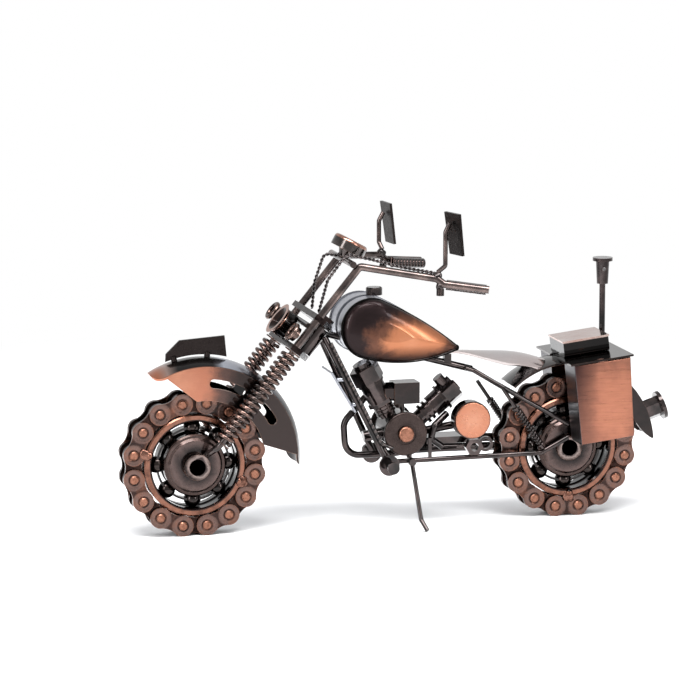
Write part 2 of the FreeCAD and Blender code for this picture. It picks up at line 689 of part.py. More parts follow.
# Speedometer on the crossbar, facing the rider
crossbar_mid = fork(CROSSBAR_S, crossbar_back)
tilt = math.radians(SPEEDO_TILT)
speedo_up = V(math.sin(tilt), 0, math.cos(tilt))
stalk_top = crossbar_mid + speedo_up * SPEEDO_STALK_HEIGHT
stalk = Part.makeCone(1.6, 3.4, SPEEDO_STALK_HEIGHT, crossbar_mid, speedo_up)
stalk = stalk.cut(cylinder(crossbar_end, V(crossbar_end.x, -crossbar_end.y, crossbar_end.z), CROSSBAR_R + FIT_GAP))
stalk = max(stalk.Solids, key=lambda solid: solid.CenterOfMass.z)
cup = disc(stalk_top, speedo_up, SPEEDO_R, SPEEDO_HEIGHT)
cup_top = stalk_top + speedo_up * SPEEDO_HEIGHT
top_rim = [edge for edge in cup.Edges if (edge.CenterOfMass - cup_top).Length < 1e-6]
cup = cup.makeFillet(SPEEDO_ROUND, top_rim)
cup = cup.cut(disc(cup_top - speedo_up * 0.4, speedo_up, SPEEDO_R - SPEEDO_ROUND - 0.2, 1.0))
save("speedometer", cup, stalk)


# ---------------------------------------------------------------- fenders
def polar(centre, radius, deg, y):
    angle = math.radians(deg)
    return V(centre.x + radius * math.cos(angle), y, centre.z + radius * math.sin(angle))


def crowned_sheet(centre, edge_r, crown, thickness, low_deg, high_deg):
    """A fender sheet: an arched section turned about the wheel axle."""
    def section_arc(radius):
        points = [polar(centre, radius, low_deg, -FENDER_HALF_WIDTH)]
        points.append(polar(centre, radius + crown, low_deg, 0))
        points.append(polar(centre, radius, low_deg, FENDER_HALF_WIDTH))
        return points
    outer = section_arc(edge_r)
    inner = section_arc(edge_r - thickness)
    edges = [
        Part.Arc(*outer).toShape(),
        Part.makeLine(outer[2], inner[2]),
        Part.Arc(*inner).toShape(),
        Part.makeLine(inner[0], outer[0]),
    ]
    wire = Part.Wire(Part.__sortEdges__(edges))
    return Part.Face(wire).revolve(centre, V(0, -1, 0), high_deg - low_deg)


def fender_skirt(centre, outline_deg, y_inner, y_outer):
    """A flat cheek: an outer arc, an inner arc and two straight ends."""
    outer_r, inner_r, low_deg, high_deg, inner_low_deg, inner_high_deg, inner_mid_r = outline_deg
    mid = (low_deg + high_deg) / 2.0
    inner_mid = (inner_low_deg + inner_high_deg) / 2.0
    corners = [polar(centre, outer_r, low_deg, y_inner), polar(centre, outer_r, high_deg, y_inner)]
    inner_high = polar(centre, inner_r, inner_high_deg, y_inner)
    inner_low = polar(centre, inner_r, inner_low_deg, y_inner)
    edges = [
        Part.Arc(corners[0], polar(centre, outer_r, mid, y_inner), corners[1]).toShape(),
        Part.makeLine(corners[1], inner_high),
        Part.Arc(inner_high, polar(centre, inner_mid_r, inner_mid, y_inner), inner_low).toShape(),
        Part.makeLine(inner_low, corners[0]),
    ]
    return Part.Face(Part.Wire(edges)).extrude(V(0, y_outer - y_inner, 0))


fender_centre = fork(0) + FENDER_OFFSET
skirt_y = FENDER_HALF_WIDTH - FENDER_T
skirt_seam_r = FENDER_EDGE_R - 0.1
sheet = crowned_sheet(
    fender_centre, FENDER_EDGE_R, FENDER_CROWN, FENDER_T, FENDER_LOW_DEG, FENDER_HIGH_DEG,
)
lobe_deg = math.degrees(FENDER_CORNER_R / FENDER_EDGE_R)
corner_y = FENDER_HALF_WIDTH - FENDER_CORNER_R
lobe_low = FENDER_LOW_DEG + lobe_deg
lobe_high = FENDER_HIGH_DEG - lobe_deg
reach = FENDER_EDGE_R + FENDER_CROWN + 4
keep = annular_sector(
    fender_centre, SKIRT_INNER_R, reach, lobe_low, lobe_high, -FENDER_HALF_WIDTH - 1, FENDER_HALF_WIDTH + 1,
)
keep = keep.fuse(annular_sector(
    fender_centre, FENDER_EDGE_R - 6, reach, FENDER_LOW_DEG, FENDER_HIGH_DEG, -corner_y, corner_y,
))
for lobe in (lobe_low, lobe_high):
    for y in (-corner_y, corner_y):
        spoke_start = polar(fender_centre, FENDER_EDGE_R - 6, lobe, y)
        spoke_end = polar(fender_centre, reach, lobe, y)
        keep = keep.fuse(cylinder(spoke_start, spoke_end, FENDER_CORNER_R))
sheet = sheet.common(keep)
skirt = fender_skirt(
    fender_centre,
    (skirt_seam_r, SKIRT_INNER_R, SKIRT_REAR_DEG, SKIRT_FRONT_DEG, SKIRT_REAR_LOW_DEG, SKIRT_FRONT_LOW_DEG,
     SKIRT_INNER_R),
    -FENDER_HALF_WIDTH, -skirt_y,
)
for low_deg, high_deg in ((62.0, 83.5), (29.0, 47.0)):
    skirt = skirt.cut(arc_slot(
        fender_centre, SLOT_R, SLOT_HALF_WIDTH, low_deg, high_deg, -FENDER_HALF_WIDTH - 1, -skirt_y + 1,
    ))
spring_inside = FORK_HALF_TRACK - SPRING_R - SPRING_WIRE_R - WELD_GAP
lug_low = fork(TYRE_REACH - FENDER_LUG_INSET, 0, -FENDER_HALF_WIDTH + 0.2)
lug = cylinder(lug_low, V(lug_low.x, -spring_inside, lug_low.z), LUG_R)
fender = sheet.fuse(both(skirt) + both(lug)).removeSplitter()
save("front_fender", *fender.Solids)

# Number plate on top of the front fender, along its middle, on two pegs
plate_low_r = FENDER_EDGE_R + FENDER_CROWN + 1.0
plate_tail = polar(fender_centre, plate_low_r, 75.0, -PLATE_T / 2.0)
plate_mid = polar(fender_centre, plate_low_r, 92.0, -PLATE_T / 2.0)
plate_nose = polar(fender_centre, plate_low_r, 110.0, -PLATE_T / 2.0)
plate_top = fork(0).z + 49.6
top_nose = plate_nose + V(0.2, 0, 3.0)
top_chin = plate_nose + V(5.6, 0, 8.2)
top_tail = V(plate_tail.x - 0.8, plate_tail.y, plate_top)
plate_edges = [
    Part.Arc(plate_tail, plate_mid, plate_nose).toShape(),
    Part.makeLine(plate_nose, top_nose),
    Part.makeLine(top_nose, top_chin),
    Part.makeLine(top_chin, top_tail),
    Part.makeLine(top_tail, plate_tail),
]
number_plate = Part.Face(Part.Wire(plate_edges)).extrude(V(0, PLATE_T, 0))
pegs = []
for deg in (86.0, 105.0):
    peg_low = polar(fender_centre, FENDER_EDGE_R + FENDER_CROWN + WELD_GAP, deg, 0)
    peg_high = polar(fender_centre, plate_low_r + 1.0, deg, 0)
    pegs.append(cylinder(peg_low, peg_high, PLATE_PEG_R))
number_plate = number_plate.fuse(pegs)
rivet = disc(plate_tail + V(-1.6, -0.2, 2.2), AXLE_Y, 0.8, PLATE_T + 0.4)
number_plate = number_plate.fuse(rivet)
save("front_plate", number_plate.removeSplitter())

# Rear fender
hub = rear(0, 0)
rear_sheet = crowned_sheet(
    hub, REAR_FENDER_EDGE_R, REAR_FENDER_CROWN, FENDER_T, REAR_FENDER_LOW_DEG, REAR_FENDER_HIGH_DEG,
)
rear_seam_r = REAR_FENDER_EDGE_R - 0.1
tail_skirt = fender_skirt(
    hub,
    (rear_seam_r, rear_seam_r - 0.7, TAIL_SKIRT_LOW_DEG, TAIL_SKIRT_HIGH_DEG, TAIL_SKIRT_LOW_DEG,
     TAIL_SKIRT_HIGH_DEG, TAIL_SKIRT_INNER_R),
    -FENDER_HALF_WIDTH, -skirt_y,
)
rear_fender = rear_sheet.fuse(both(tail_skirt)).removeSplitter()
save("rear_fender", *rear_fender.Solids)
fender_envelope = crowned_sheet(
    hub, REAR_FENDER_EDGE_R + WELD_GAP, REAR_FENDER_CROWN, 12.0, REAR_FENDER_LOW_DEG - 2, REAR_FENDER_HIGH_DEG + 2,
)

# Tail lamp: a flanged nut standing on the fender, its flange the rearmost point of the machine
lamp_out = V(math.cos(LAMP_RAD), 0, math.sin(LAMP_RAD))
lamp_foot_r = REAR_CREST_R + WELD_GAP
lamp_hex = hex_prism(hub + lamp_out * lamp_foot_r, lamp_out, LAMP_HEX, LAMP_STEM)
flange = disc(hub + lamp_out * (LAMP_TOP_R - LAMP_FLANGE_T), lamp_out, LAMP_FLANGE_R, LAMP_FLANGE_T)
lamp = lamp_hex.fuse(flange).cut(disc(hub + lamp_out * (LAMP_TOP_R - 1.6), lamp_out, 2.4, 2.0))
save("tail_lamp", lamp.removeSplitter())

# ---------------------------------------------------------------- frame
head_tube = tube(head_low, head_high, HEAD_TUBE_R, STEM_R + STEM_GAP)
save("steering_head", head_tube)
head_room = cylinder(fork(HEAD_LOW_S - 6, HEAD_SETBACK), fork(HEAD_HIGH_S + 6, HEAD_SETBACK), HEAD_TUBE_R + WELD_GAP)

down_top = fork(HEAD_HIGH_S - 2.4, HEAD_SETBACK + 2.7, -4.5)
down_low = engine(-7.3, -11.1, -RAIL_Y - RAIL_R - DOWN_TUBE_R - WELD_GAP)
down_tube = cylinder(down_top, down_low, DOWN_TUBE_R).cut(head_room)
save("down_tubes", *both(down_tube))

backbone = cylinder(fork(HEAD_HIGH_S - 2.4, HEAD_SETBACK), engine(29.9, 22.7), BACKBONE_R).cut(head_room)
strut_y = BACKBONE_R + STRUT_R + WELD_GAP
strut_bend = rear(-27.3, 25.2, -8.2)
strut_end = rear(-0.9, 9.8, -RAIL_Y)
strut = rod(
    [engine(26.6, 23.8, -strut_y), engine(30.1, 22.5, -strut_y), strut_bend, strut_end], STRUT_R, 2.0,
)
tab = side_prism(
    [(engine(18.4, 0).x, engine(0, 24.2).z), (engine(21.2, 0).x, engine(0, 24.2).z),
     (engine(21.2, 0).x, engine(0, 29.3).z), (engine(18.4, 0).x, engine(0, 29.3).z)],
    -TANK_INNER_Y + 0.2, TANK_INNER_Y - 0.2,
)
tab = tab.cut(cylinder(fork(HEAD_HIGH_S - 2.4, HEAD_SETBACK), engine(29.9, 22.7), BACKBONE_R + WELD_GAP))
tab = max(tab.Solids, key=lambda solid: solid.CenterOfMass.z)
save("frame_tubes", backbone, *both(strut), tab)

rail_joint = engine(-4.3, -11.1, -RAIL_Y)
rail = rod([engine(-7.4, -6.4, -4.4), rail_joint, rear(-12.3, -1.2, -RAIL_Y), rear(-1.1, 4.5, -RAIL_Y)], RAIL_R, 2.2)
stand_pivot = engine(STAND_AHEAD, -11.1, -RAIL_Y - RAIL_R)
eye_y = RUN_GAP
pin_tip = stand_pivot - AXLE_Y * (2.0 * RUN_GAP + STAND_EYE_T)
stand_pin = cylinder(stand_pivot + AXLE_Y * 0.4, pin_tip, STAND_PIN_R)
stand_pin = stand_pin.fuse(disc(pin_tip, AXLE_Y * -1.0, STAND_PIN_HEAD_R, 0.7))
left_rail = rail.fuse(stand_pin)
strap_x = engine(10.3, 0).x
strap = side_prism(
    [(strap_x - 0.7, engine(0, -10.2).z), (strap_x + 0.7, engine(0, -10.2).z),
     (strap_x + 0.7, engine(0, -2.4).z), (strap_x - 0.7, engine(0, -2.4).z)],
    -RAIL_Y - 0.4, -RAIL_Y + 0.5,
)
strap = strap.cut(cylinder(rail_joint, rear(-12.3, -1.2, -RAIL_Y), RAIL_R + FIT_GAP))
strap = max(strap.Solids, key=lambda solid: solid.Volume)
save("lower_rails", left_rail, mirrored(rail), strap)


def shock(side, shift, low_z):
    """A rear shock from a bolt on the strut down a slanted line, with its spring."""
    slope = V(16.5, 0, -24.4)
    top = rear(-28.3 + shift, 25.3, side * SHOCK_Y)
    drop = top.z - rear(0, low_z).z
    low = top + slope * (drop / -slope.z)
    axis = (low - top).normalize()
    spring_top = top + axis * 10.4
    spring_room = (low - spring_top).Length - 1.6
    wind = coil(spring_top, axis, SHOCK_COIL_R, SHOCK_WIRE_R, SHOCK_COILS, spring_room)
    seat = tube(spring_top - axis * 1.2, spring_top - axis * 0.5, SHOCK_COIL_R + SHOCK_WIRE_R, SHOCK_ROD_R + FIT_GAP)
    return cylinder(top, low, SHOCK_ROD_R), wind, seat


left_shock = shock(-1, 0.0, 0.8)
right_shock = shock(1, -4.6, 4.3)


def shock_bolt(side, shift):
    """A bolt across from the strut to the shock."""
    share = (rear(-28.3 + shift, 0).x + 1.0 - engine(30.1, 0).x) / (strut_bend.x - engine(30.1, 0).x)
    share = min(share, 1.0)
    foot = engine(30.1, 22.5, -strut_y) + (strut_bend - engine(30.1, 22.5, -strut_y)) * share
    start_y = side * (abs(foot.y) + STRUT_R + 0.6)
    end_y = side * (SHOCK_Y - SHOCK_ROD_R - WELD_GAP)
    return cylinder(V(foot.x, start_y, foot.z), V(foot.x, end_y, foot.z), 0.7)


save("shock_rods", left_shock[0], right_shock[0], shock_bolt(1, -4.6))
save("shock_springs", *left_shock[1:], *right_shock[1:])

# Guard plate ahead of the down tubes
guard_high = engine(-29.4, 24.8)
guard_low = engine(-19.7, 8.6)
down_line = (down_low - down_top).normalize()
guard_normal = V(-(guard_low - guard_high).z, 0, (guard_low - guard_high).x).normalize() * GUARD_T
guard = polygon_prism(
    [guard_high - AXLE_Y * GUARD_HALF_WIDTH, guard_high + AXLE_Y * GUARD_HALF_WIDTH,
     guard_low + AXLE_Y * GUARD_HALF_WIDTH, guard_low - AXLE_Y * GUARD_HALF_WIDTH],
    guard_normal,
)
guard_solids = [guard]
for share in (0.2, 0.8):
    on_plate = guard_high + (guard_low - guard_high) * share + guard_normal
    on_tube = down_top + (down_low - down_top) * ((down_top.z - on_plate.z) / (down_top.z - down_low.z))
    arm_start = V(on_plate.x, on_tube.y, on_plate.z)
    arm = cylinder(arm_start, on_tube, 0.8)
    room = cylinder(down_top, down_low, DOWN_TUBE_R + WELD_GAP)
    arm = max(arm.cut(room).Solids, key=lambda solid: -solid.CenterOfMass.x)
    guard_solids += both(arm)
guard = guard.fuse(guard_solids[1:]).removeSplitter()
save("front_guard", *guard.Solids)


# ---------------------------------------------------------------- tank
tank_top = engine(-10.1, 53.3)
tank_bottom = engine(-15.6, 30.4)
tank_tip_low = engine(19.9, 32.2)
tank_tip_high = engine(20.1, 34.6)
tank_middle = engine(-6.1, 40.6)


def tank_outline(scale, y):
    """The teardrop outline, shrunk about its middle and moved across to y."""
    def at(point):
        moved = tank_middle + (point - tank_middle) * scale
        return V(moved.x, y, moved.z)
    edges = [
        Part.Arc(at(tank_top), at(engine(-25.2, 42.6)), at(tank_bottom)).toShape(),
        Part.Arc(at(tank_bottom), at(engine(0.4, 28.4)), at(tank_tip_low)).toShape(),
        Part.Arc(at(tank_tip_low), at(engine(21.1, 33.5)), at(tank_tip_high)).toShape(),
        Part.Arc(at(tank_tip_high), at(engine(4.3, 45.8)), at(tank_top)).toShape(),
    ]
    return Part.Wire(edges)


side_wall = Part.Face(tank_outline(1.0, -TANK_WALL_Y)).extrude(V(0, TANK_WALL_Y - TANK_INNER_Y, 0))
dome_depth = TANK_DOME_Y - TANK_WALL_Y
dome_sections = []
for step in range(6):
    angle = math.radians(15.5 * step)
    section_y = -TANK_WALL_Y - dome_depth * math.sin(angle)
    dome_sections.append(tank_outline(math.cos(angle) ** 0.8, section_y))
dome = Part.makeLoft(dome_sections, True, False)
rim_face = Part.Face(tank_outline(1.03, -TANK_WALL_Y - TANK_RIM_T / 2.0))
tank_rim = rim_face.extrude(V(0, TANK_RIM_T, 0))
tank_shell = side_wall.fuse([dome, tank_rim])
save("tank_shells", *both(max(tank_shell.Solids, key=lambda solid: solid.Volume)))

cap_foot = engine(-10.0, 53.95)
cap = disc(cap_foot, UP, CAP_R, CAP_HEIGHT)
cap_edge = [edge for edge in cap.Edges if edge.CenterOfMass.z > cap_foot.z + CAP_HEIGHT - 0.01]
save("tank_cap", cap.makeChamfer(0.4, cap_edge))

# ---------------------------------------------------------------- saddle
seat_front = engine(20.6, 30.3)
seat_back = rear(-6.3, 34.0)
seat_length = seat_back.x - seat_front.x
seat_profile = ((0.0, 0.0), (0.36, -0.45), (0.52, -0.8), (0.68, -1.6), (0.84, -3.3), (1.0, -5.3))


def seat_section(share, drop, top):
    """An arched slice across the seat."""
    x = seat_front.x + share * seat_length
    z = seat_front.z + drop
    half = math.radians(46.0)
    centre_z = z - SEAT_CROWN_R
    radius = SEAT_CROWN_R - top
    def at(angle, r):
        return V(x, r * math.sin(angle), centre_z + r * math.cos(angle))
    upper = [at(-half, SEAT_CROWN_R), at(0, SEAT_CROWN_R), at(half, SEAT_CROWN_R)]
    lower = [at(half, radius), at(0, radius), at(-half, radius)]
    edges = [
        Part.Arc(*upper).toShape(),
        Part.makeLine(upper[2], lower[0]),
        Part.Arc(*lower).toShape(),
        Part.makeLine(lower[2], upper[0]),
    ]
    return Part.Wire(edges)


seat_sections = [seat_section(share, drop, SEAT_T) for share, drop in seat_profile]
seat_sheet = Part.makeLoft(seat_sections, True, False)
plan = []
for share, half_width in (
    (0.0, 0.9), (0.1, 2.6), (0.22, 5.0), (0.36, 7.2), (0.52, 8.8), (0.7, 9.3), (0.85, 8.6), (0.95, 6.2), (1.0, 2.6),
):
    plan.append(V(seat_front.x + share * seat_length, half_width, seat_back.z - 12))
plan_curve = Part.BSplineCurve()
plan_curve.interpolate(plan)
near_curve = Part.BSplineCurve()
near_curve.interpolate([V(point.x, -point.y, point.z) for point in plan])
plan_edges = [
    plan_curve.toShape(),
    Part.makeLine(plan[-1], V(plan[-1].x, -plan[-1].y, plan[-1].z)),
    near_curve.toShape(),
    Part.makeLine(V(plan[0].x, -plan[0].y, plan[0].z), plan[0]),
]
plan_prism = Part.Face(Part.Wire(Part.__sortEdges__(plan_edges))).extrude(V(0, 0, 30))
seat = seat_sheet.common(plan_prism).cut(fender_envelope)
save("seat_plate", max(seat.Solids, key=lambda solid: solid.Volume))

# ---------------------------------------------------------------- luggage
platform_front = rear(-4.5, REAR_CREST_R + 0.1)


def on_platform(shape):
    """Move something drawn on a level floor at the origin on to the pitched platform."""
    shape.rotate(V(0, 0, 0), AXLE_Y, -PLATFORM_PITCH)
    shape.translate(platform_front)
    return shape


notch = 4.5
platform_outline = [
    V(0, -PLATFORM_HALF_WIDTH, 0), V(0, -notch, 0), V(2.2, -notch, 0), V(2.2, notch, 0), V(0, notch, 0),
    V(0, PLATFORM_HALF_WIDTH, 0), V(PLATFORM_LENGTH, PLATFORM_HALF_WIDTH, 0),
    V(PLATFORM_LENGTH, -PLATFORM_HALF_WIDTH, 0),
]
platform = on_platform(polygon_prism(platform_outline, V(0, 0, -PLATFORM_T))).cut(fender_envelope)
save("luggage_platform", max(platform.Solids, key=lambda solid: solid.Volume))

box_inner_y = max(FENDER_HALF_WIDTH, REAR_AXLE_TUBE_LENGTH / 2.0) + WELD_GAP
box_corners = [
    (rear(-2.9, 0).x, rear(0, 35.2).z), (rear(20.2, 0).x, rear(0, 37.9).z),
    (rear(22.1, 0).x, rear(0, 6.4).z), (rear(0.4, 0).x, rear(0, 3.7).z),
]
side_box = side_prism(box_corners, -BOX_OUTER_Y, -box_inner_y)
outer_edges = [edge for edge in side_box.Edges if abs(edge.CenterOfMass.y + BOX_OUTER_Y) < 1e-6]
side_box = side_box.makeFillet(0.5, outer_edges)
save("side_boxes", *both(side_box))

trunk = Part.makeBox(TRUNK_LENGTH, TRUNK_WIDTH, TRUNK_HEIGHT)
trunk.translate(V(1.9, -TRUNK_WIDTH / 2.0, WELD_GAP))
trunk_edges = [edge for edge in trunk.Edges if edge.CenterOfMass.z < 0.5 and abs(edge.CenterOfMass.y) > 1]
trunk = trunk.makeFillet(1.6, trunk_edges)
lid = Part.makeBox(TRUNK_LENGTH + 0.6, TRUNK_WIDTH + 0.6, TRUNK_LID_T)
lid.translate(V(1.6, -TRUNK_WIDTH / 2.0 - 0.3, TRUNK_HEIGHT + 2.0 * WELD_GAP))
save("top_box", on_platform(trunk), on_platform(lid))

antenna_x = 1.9 + TRUNK_LENGTH + 0.3 + ANTENNA_R + WELD_GAP
antenna_foot = on_platform(Part.Vertex(antenna_x, 6.0, 0)).Point + UP * (WELD_GAP + 0.2)
sleeve_top = antenna_foot + UP * (ANTENNA_HEIGHT - ANTENNA_HEAD_T)
sleeve_low = sleeve_top - UP * ANTENNA_SLEEVE_LENGTH
antenna = cylinder(antenna_foot, sleeve_low + UP, ANTENNA_R)
sleeve = Part.makeCone(2.25, 2.7, ANTENNA_SLEEVE_LENGTH, sleeve_low)
head = disc(sleeve_top - UP * 0.05, UP, ANTENNA_HEAD_R, ANTENNA_HEAD_T)
hole_mid = sleeve_top - UP * 3.2
cross_hole = cylinder(hole_mid - AXLE_Y * 4, hole_mid + AXLE_Y * 4, 0.8)
save("antenna", antenna.fuse([sleeve, head]).cut(cross_hole).removeSplitter())

# ---------------------------------------------------------------- engine
crank = engine(0, 0)
crankcase = cylinder(crank - AXLE_Y * CRANKCASE_HALF_WIDTH, crank + AXLE_Y * CRANKCASE_HALF_WIDTH, CRANKCASE_R)
nose_bolt = cylinder(engine(-14.4, -2.3), engine(-4, -1.0), 2.2)
foot_y = RAIL_Y - 1.1
foot_holes = []
for side in (-1, 1):
    foot = cylinder(engine(2.2, -11.1 + RAIL_R + WELD_GAP, side * foot_y), engine(2.2, -4, side * foot_y), 1.1)
    foot_holes.append(foot)
crankcase = crankcase.fuse([nose_bolt] + foot_holes)
sump = Part.makeBox(24.0, 11.0, 2.6)
sump.translate(engine(4.0, -5.6, -5.5))
crankcase = crankcase.fuse(sump).removeSplitter()
save("crankcase", *crankcase.Solids)

cover_back = crank - AXLE_Y * (CRANKCASE_HALF_WIDTH + WELD_GAP)
cover = disc(cover_back, AXLE_Y * -1.0, CRANK_COVER_R, CRANK_COVER_T)
cover_face = cover_back - AXLE_Y * CRANK_COVER_T
cover_edge = [edge for edge in cover.Edges if abs(edge.CenterOfMass.y - cover_face.y) < 1e-6 and edge.Closed]
cover = cover.makeFillet(0.7, cover_edge)
groove = tube(cover_face + AXLE_Y * 0.35, cover_face - AXLE_Y, CRANK_CAP_R + 0.9, CRANK_CAP_R)
cover = cover.cut(groove)
save("crank_cover", *both(cover))
crank_cap = disc(cover_face - AXLE_Y * WELD_GAP, AXLE_Y * -1.0, CRANK_CAP_R, 1.3)
cap_face_y = cover_face.y - WELD_GAP - 1.3
cap_edge = [edge for edge in crank_cap.Edges if abs(edge.CenterOfMass.y - cap_face_y) < 1e-6]
save("crank_cap", *both(crank_cap.makeFillet(1.0, cap_edge)))


def stack(foot, axis, steps):
    """Turned and hexagonal lengths one on another: (kind, from, to, size)."""
    solids = []
    for kind, start, end, size in steps:
        if kind == "hex":
            solids.append(hex_prism(foot + axis * start, axis, size, end - start))
        else:
            solids.append(disc(foot + axis * start, axis, size, end - start))
    return solids[0].fuse(solids[1:])


front_foot = engine(-3.5, 3.6, CYLINDER_Y)
front_axis = V(-12.4, 0, 23.8).normalize()
front_cylinder = stack(front_foot, front_axis, (
    ("round", 3.0, 10.1, 3.4), ("round", 4.2, 4.9, 4.0), ("round", 5.6, 6.3, 4.0), ("round", 7.0, 7.7, 4.0),
    ("hex", 8.4, 10.0, 9.2), ("round", 10.0, 18.2, FRONT_BARREL_R), ("round", 17.6, 18.8, 5.4),
    ("hex", 18.6, 24.9, 10.6), ("round", 24.8, 26.8, 3.6),
))
rear_foot = engine(8.8, 5.1, CYLINDER_Y)
rear_axis = V(14.2, 0, 12.1).normalize()
knob_axis = V(-rear_axis.z, 0, rear_axis.x)
knob_foot = rear_foot + rear_axis * 14.8
rear_cylinder = stack(rear_foot, rear_axis, (
    ("round", -2.4, 5.4, 3.2), ("round", 0.6, 1.9, 4.3), ("round", 2.9, 4.2, 4.3), ("round", 5.2, 10.7, 4.6),
    ("round", 10.5, 11.6, 5.6), ("hex", 11.4, 18.0, 9.0), ("round", 17.9, 18.8, 2.4),
))
knob = cylinder(knob_foot, knob_foot + knob_axis * 7.6, 2.2)
rear_cylinder = rear_cylinder.fuse(knob)
case_room = cylinder(crank - AXLE_Y * 12, crank + AXLE_Y * 12, CRANKCASE_R + WELD_GAP)
down_room = cylinder(down_top, down_low, DOWN_TUBE_R + WELD_GAP)
front_cylinder = front_cylinder.cut([case_room, down_room]).removeSplitter()
front_cylinder = max(front_cylinder.Solids, key=lambda solid: solid.Volume)
rear_cylinder = rear_cylinder.cut(case_room).removeSplitter()
save("cylinders", *front_cylinder.Solids, *rear_cylinder.Solids)

carb_mid = engine(-0.3, 15.4, -3.0)
carb_block = Part.makeBox(CARB_LENGTH, 8.4, 8.4)
carb_block.translate(carb_mid + V(7.0 - CARB_LENGTH, -4.2, -4.2))
carb_nut = hex_prism(carb_mid + V(-7.0, 0, 0), V(1, 0, 0), 7.0, 8.0)
carb = carb_block.fuse([carb_nut])
front_room = cylinder(front_foot + front_axis * 9, front_foot + front_axis * 30, FRONT_BARREL_R + WELD_GAP)
collar_room = cylinder(front_foot, front_foot + front_axis * 10.1, 5.5)
head_room_front = cylinder(front_foot + front_axis * 17.6, front_foot + front_axis * 30, 6.2)
rear_room = cylinder(rear_foot, rear_foot + rear_axis * 30, 5.6 + WELD_GAP)
carb_stem = cylinder(carb_mid + V(0.5, 0, 0), V(crank.x - 0.3, carb_mid.y, crank.z + 4), 1.6)
carb = carb.fuse(carb_stem).cut(front_room).cut(collar_room).cut(head_room_front).cut(rear_room).cut(case_room)
save("carburettor", max(carb.removeSplitter().Solids, key=lambda solid: solid.Volume))

cleaner = engine(26.4, 4.7)
cup_front = V(cleaner.x, AIR_CLEANER_Y + 1.1, cleaner.z)
cup_back = V(cleaner.x, AIR_CLEANER_Y + 6.2, cleaner.z)
filter_cup = cylinder(cup_back, cup_front, AIR_CLEANER_R + 0.35)
intake = rod(
    [V(cleaner.x, cup_back.y - 0.5, engine(0, 2.0).z), engine(26.4, 2.0, -3.0), engine(5.0, -1.2, -3.0)], 1.6, 3.0,
)
filter_cup = filter_cup.fuse(intake).cut(case_room).removeSplitter()
filter_cup = max(filter_cup.Solids, key=lambda solid: solid.Volume)
save("air_cleaner", filter_cup)
cover_start = cup_front - AXLE_Y * WELD_GAP
filter_cover = disc(cover_start, AXLE_Y * -1.0, AIR_CLEANER_R, 1.0)
filter_edge = [edge for edge in filter_cover.Edges if edge.CenterOfMass.y < cover_start.y - 0.9]
filter_edge = [edge for edge in filter_edge if edge.Closed]
save("air_cleaner_cover", filter_cover.makeFillet(0.45, filter_edge))

# Exhaust
front_pipe = rod(
    [engine(-12.2, 13.4, 3.0), engine(-21.6, 3.0, 3.0), engine(-20.7, -10.2, 3.0), engine(2.6, -10.2, 3.0),
     engine(7.3, -7.3, SILENCER_Y - 0.9)],
    PIPE_R, PIPE_BEND_R,
)
rear_pipe = rod(
    [engine(18.6, 6.2, -4.4), engine(12.6, 2.0, -7.2), engine(11.2, -3.0, -7.2), engine(16.0, -6.5, -7.2)],
    PIPE_R, 2.2,
)
save("exhaust_pipes", front_pipe, rear_pipe)

silencer_start = engine(8.9, 0)
silencer_end = rear(-3.2, 0)
silencers = []
for height in (-6.9, -10.6):
    start = V(silencer_start.x, SILENCER_Y, engine(0, height).z)
    end = V(silencer_end.x, SILENCER_Y, engine(0, height - 0.9).z)
    muffler = cylinder(start, end, SILENCER_R)
    along = (end - start).normalize()
    muffler = muffler.cut(cylinder(end - along * 6, end + along, SILENCER_R - 0.5))
    silencers.append(muffler)
save("silencers", *silencers)

# Foot pegs: a washer and a bolt on each side, and a nut and a ring standing on the left rail
peg_start = V(down_low.x, down_low.y - DOWN_TUBE_R - WELD_GAP, down_low.z - 0.6)
washer = disc(peg_start, AXLE_Y * -1.0, PEG_WASHER_R, 0.9)
peg = washer.fuse([
    disc(peg_start - AXLE_Y * 0.8, AXLE_Y * -1.0, PEG_BOLT_R, 5.6),
    disc(peg_start - AXLE_Y * 6.3, AXLE_Y * -1.0, PEG_BOLT_R + 0.5, 0.9),
])
nut_mid = engine(27.9, -6.5, -11.6)
nut = hex_prism(nut_mid, AXLE_Y, 6.2, 3.0).cut(cylinder(nut_mid - AXLE_Y, nut_mid + AXLE_Y * 4, 1.7))
nut = nut.cut(cylinder(rail_joint, rear(-12.3, -1.2, -RAIL_Y), RAIL_R + WELD_GAP))
ring_mid = engine(32.7, -5.6, -10.9)
ring = tube(ring_mid, ring_mid + AXLE_Y * 1.2, 3.0, 1.9)
ring = ring.cut(hex_prism(nut_mid - AXLE_Y * 0.2, AXLE_Y, 6.2 + 2.0 * WELD_GAP, 3.4))
ring = ring.cut(cylinder(rail_joint, rear(-12.3, -1.2, -RAIL_Y), RAIL_R + WELD_GAP))
ring = max(ring.Solids, key=lambda solid: solid.Volume)
save("foot_pegs", *both(peg.removeSplitter()), nut, ring)

# ---------------------------------------------------------------- kickstand
eye_start = stand_pivot - AXLE_Y * RUN_GAP
eye = tube(eye_start, eye_start - AXLE_Y * STAND_EYE_T, STAND_EYE_R, STAND_PIN_R + STEM_GAP)
leg_mid_y = eye_start.y - STAND_EYE_T / 2.0
ankle = V(stand_pivot.x + 1.9, -18.4, STAND_KNEE)
toe = V(ankle.x + 1.5, -22.0, STAND_R + 0.01)
leg_start = V(stand_pivot.x + 0.2, leg_mid_y - 0.05, stand_pivot.z - STAND_PIN_R - 0.55)
stand_leg = rod([leg_start, ankle, toe], STAND_R, 1.6)
pin_room = cylinder(stand_pivot + AXLE_Y, pin_tip - AXLE_Y, STAND_PIN_R + STEM_GAP)
stand_leg = eye.fuse(stand_leg).cut(pin_room).removeSplitter()
save("kickstand_leg", max(stand_leg.Solids, key=lambda solid: solid.Volume))

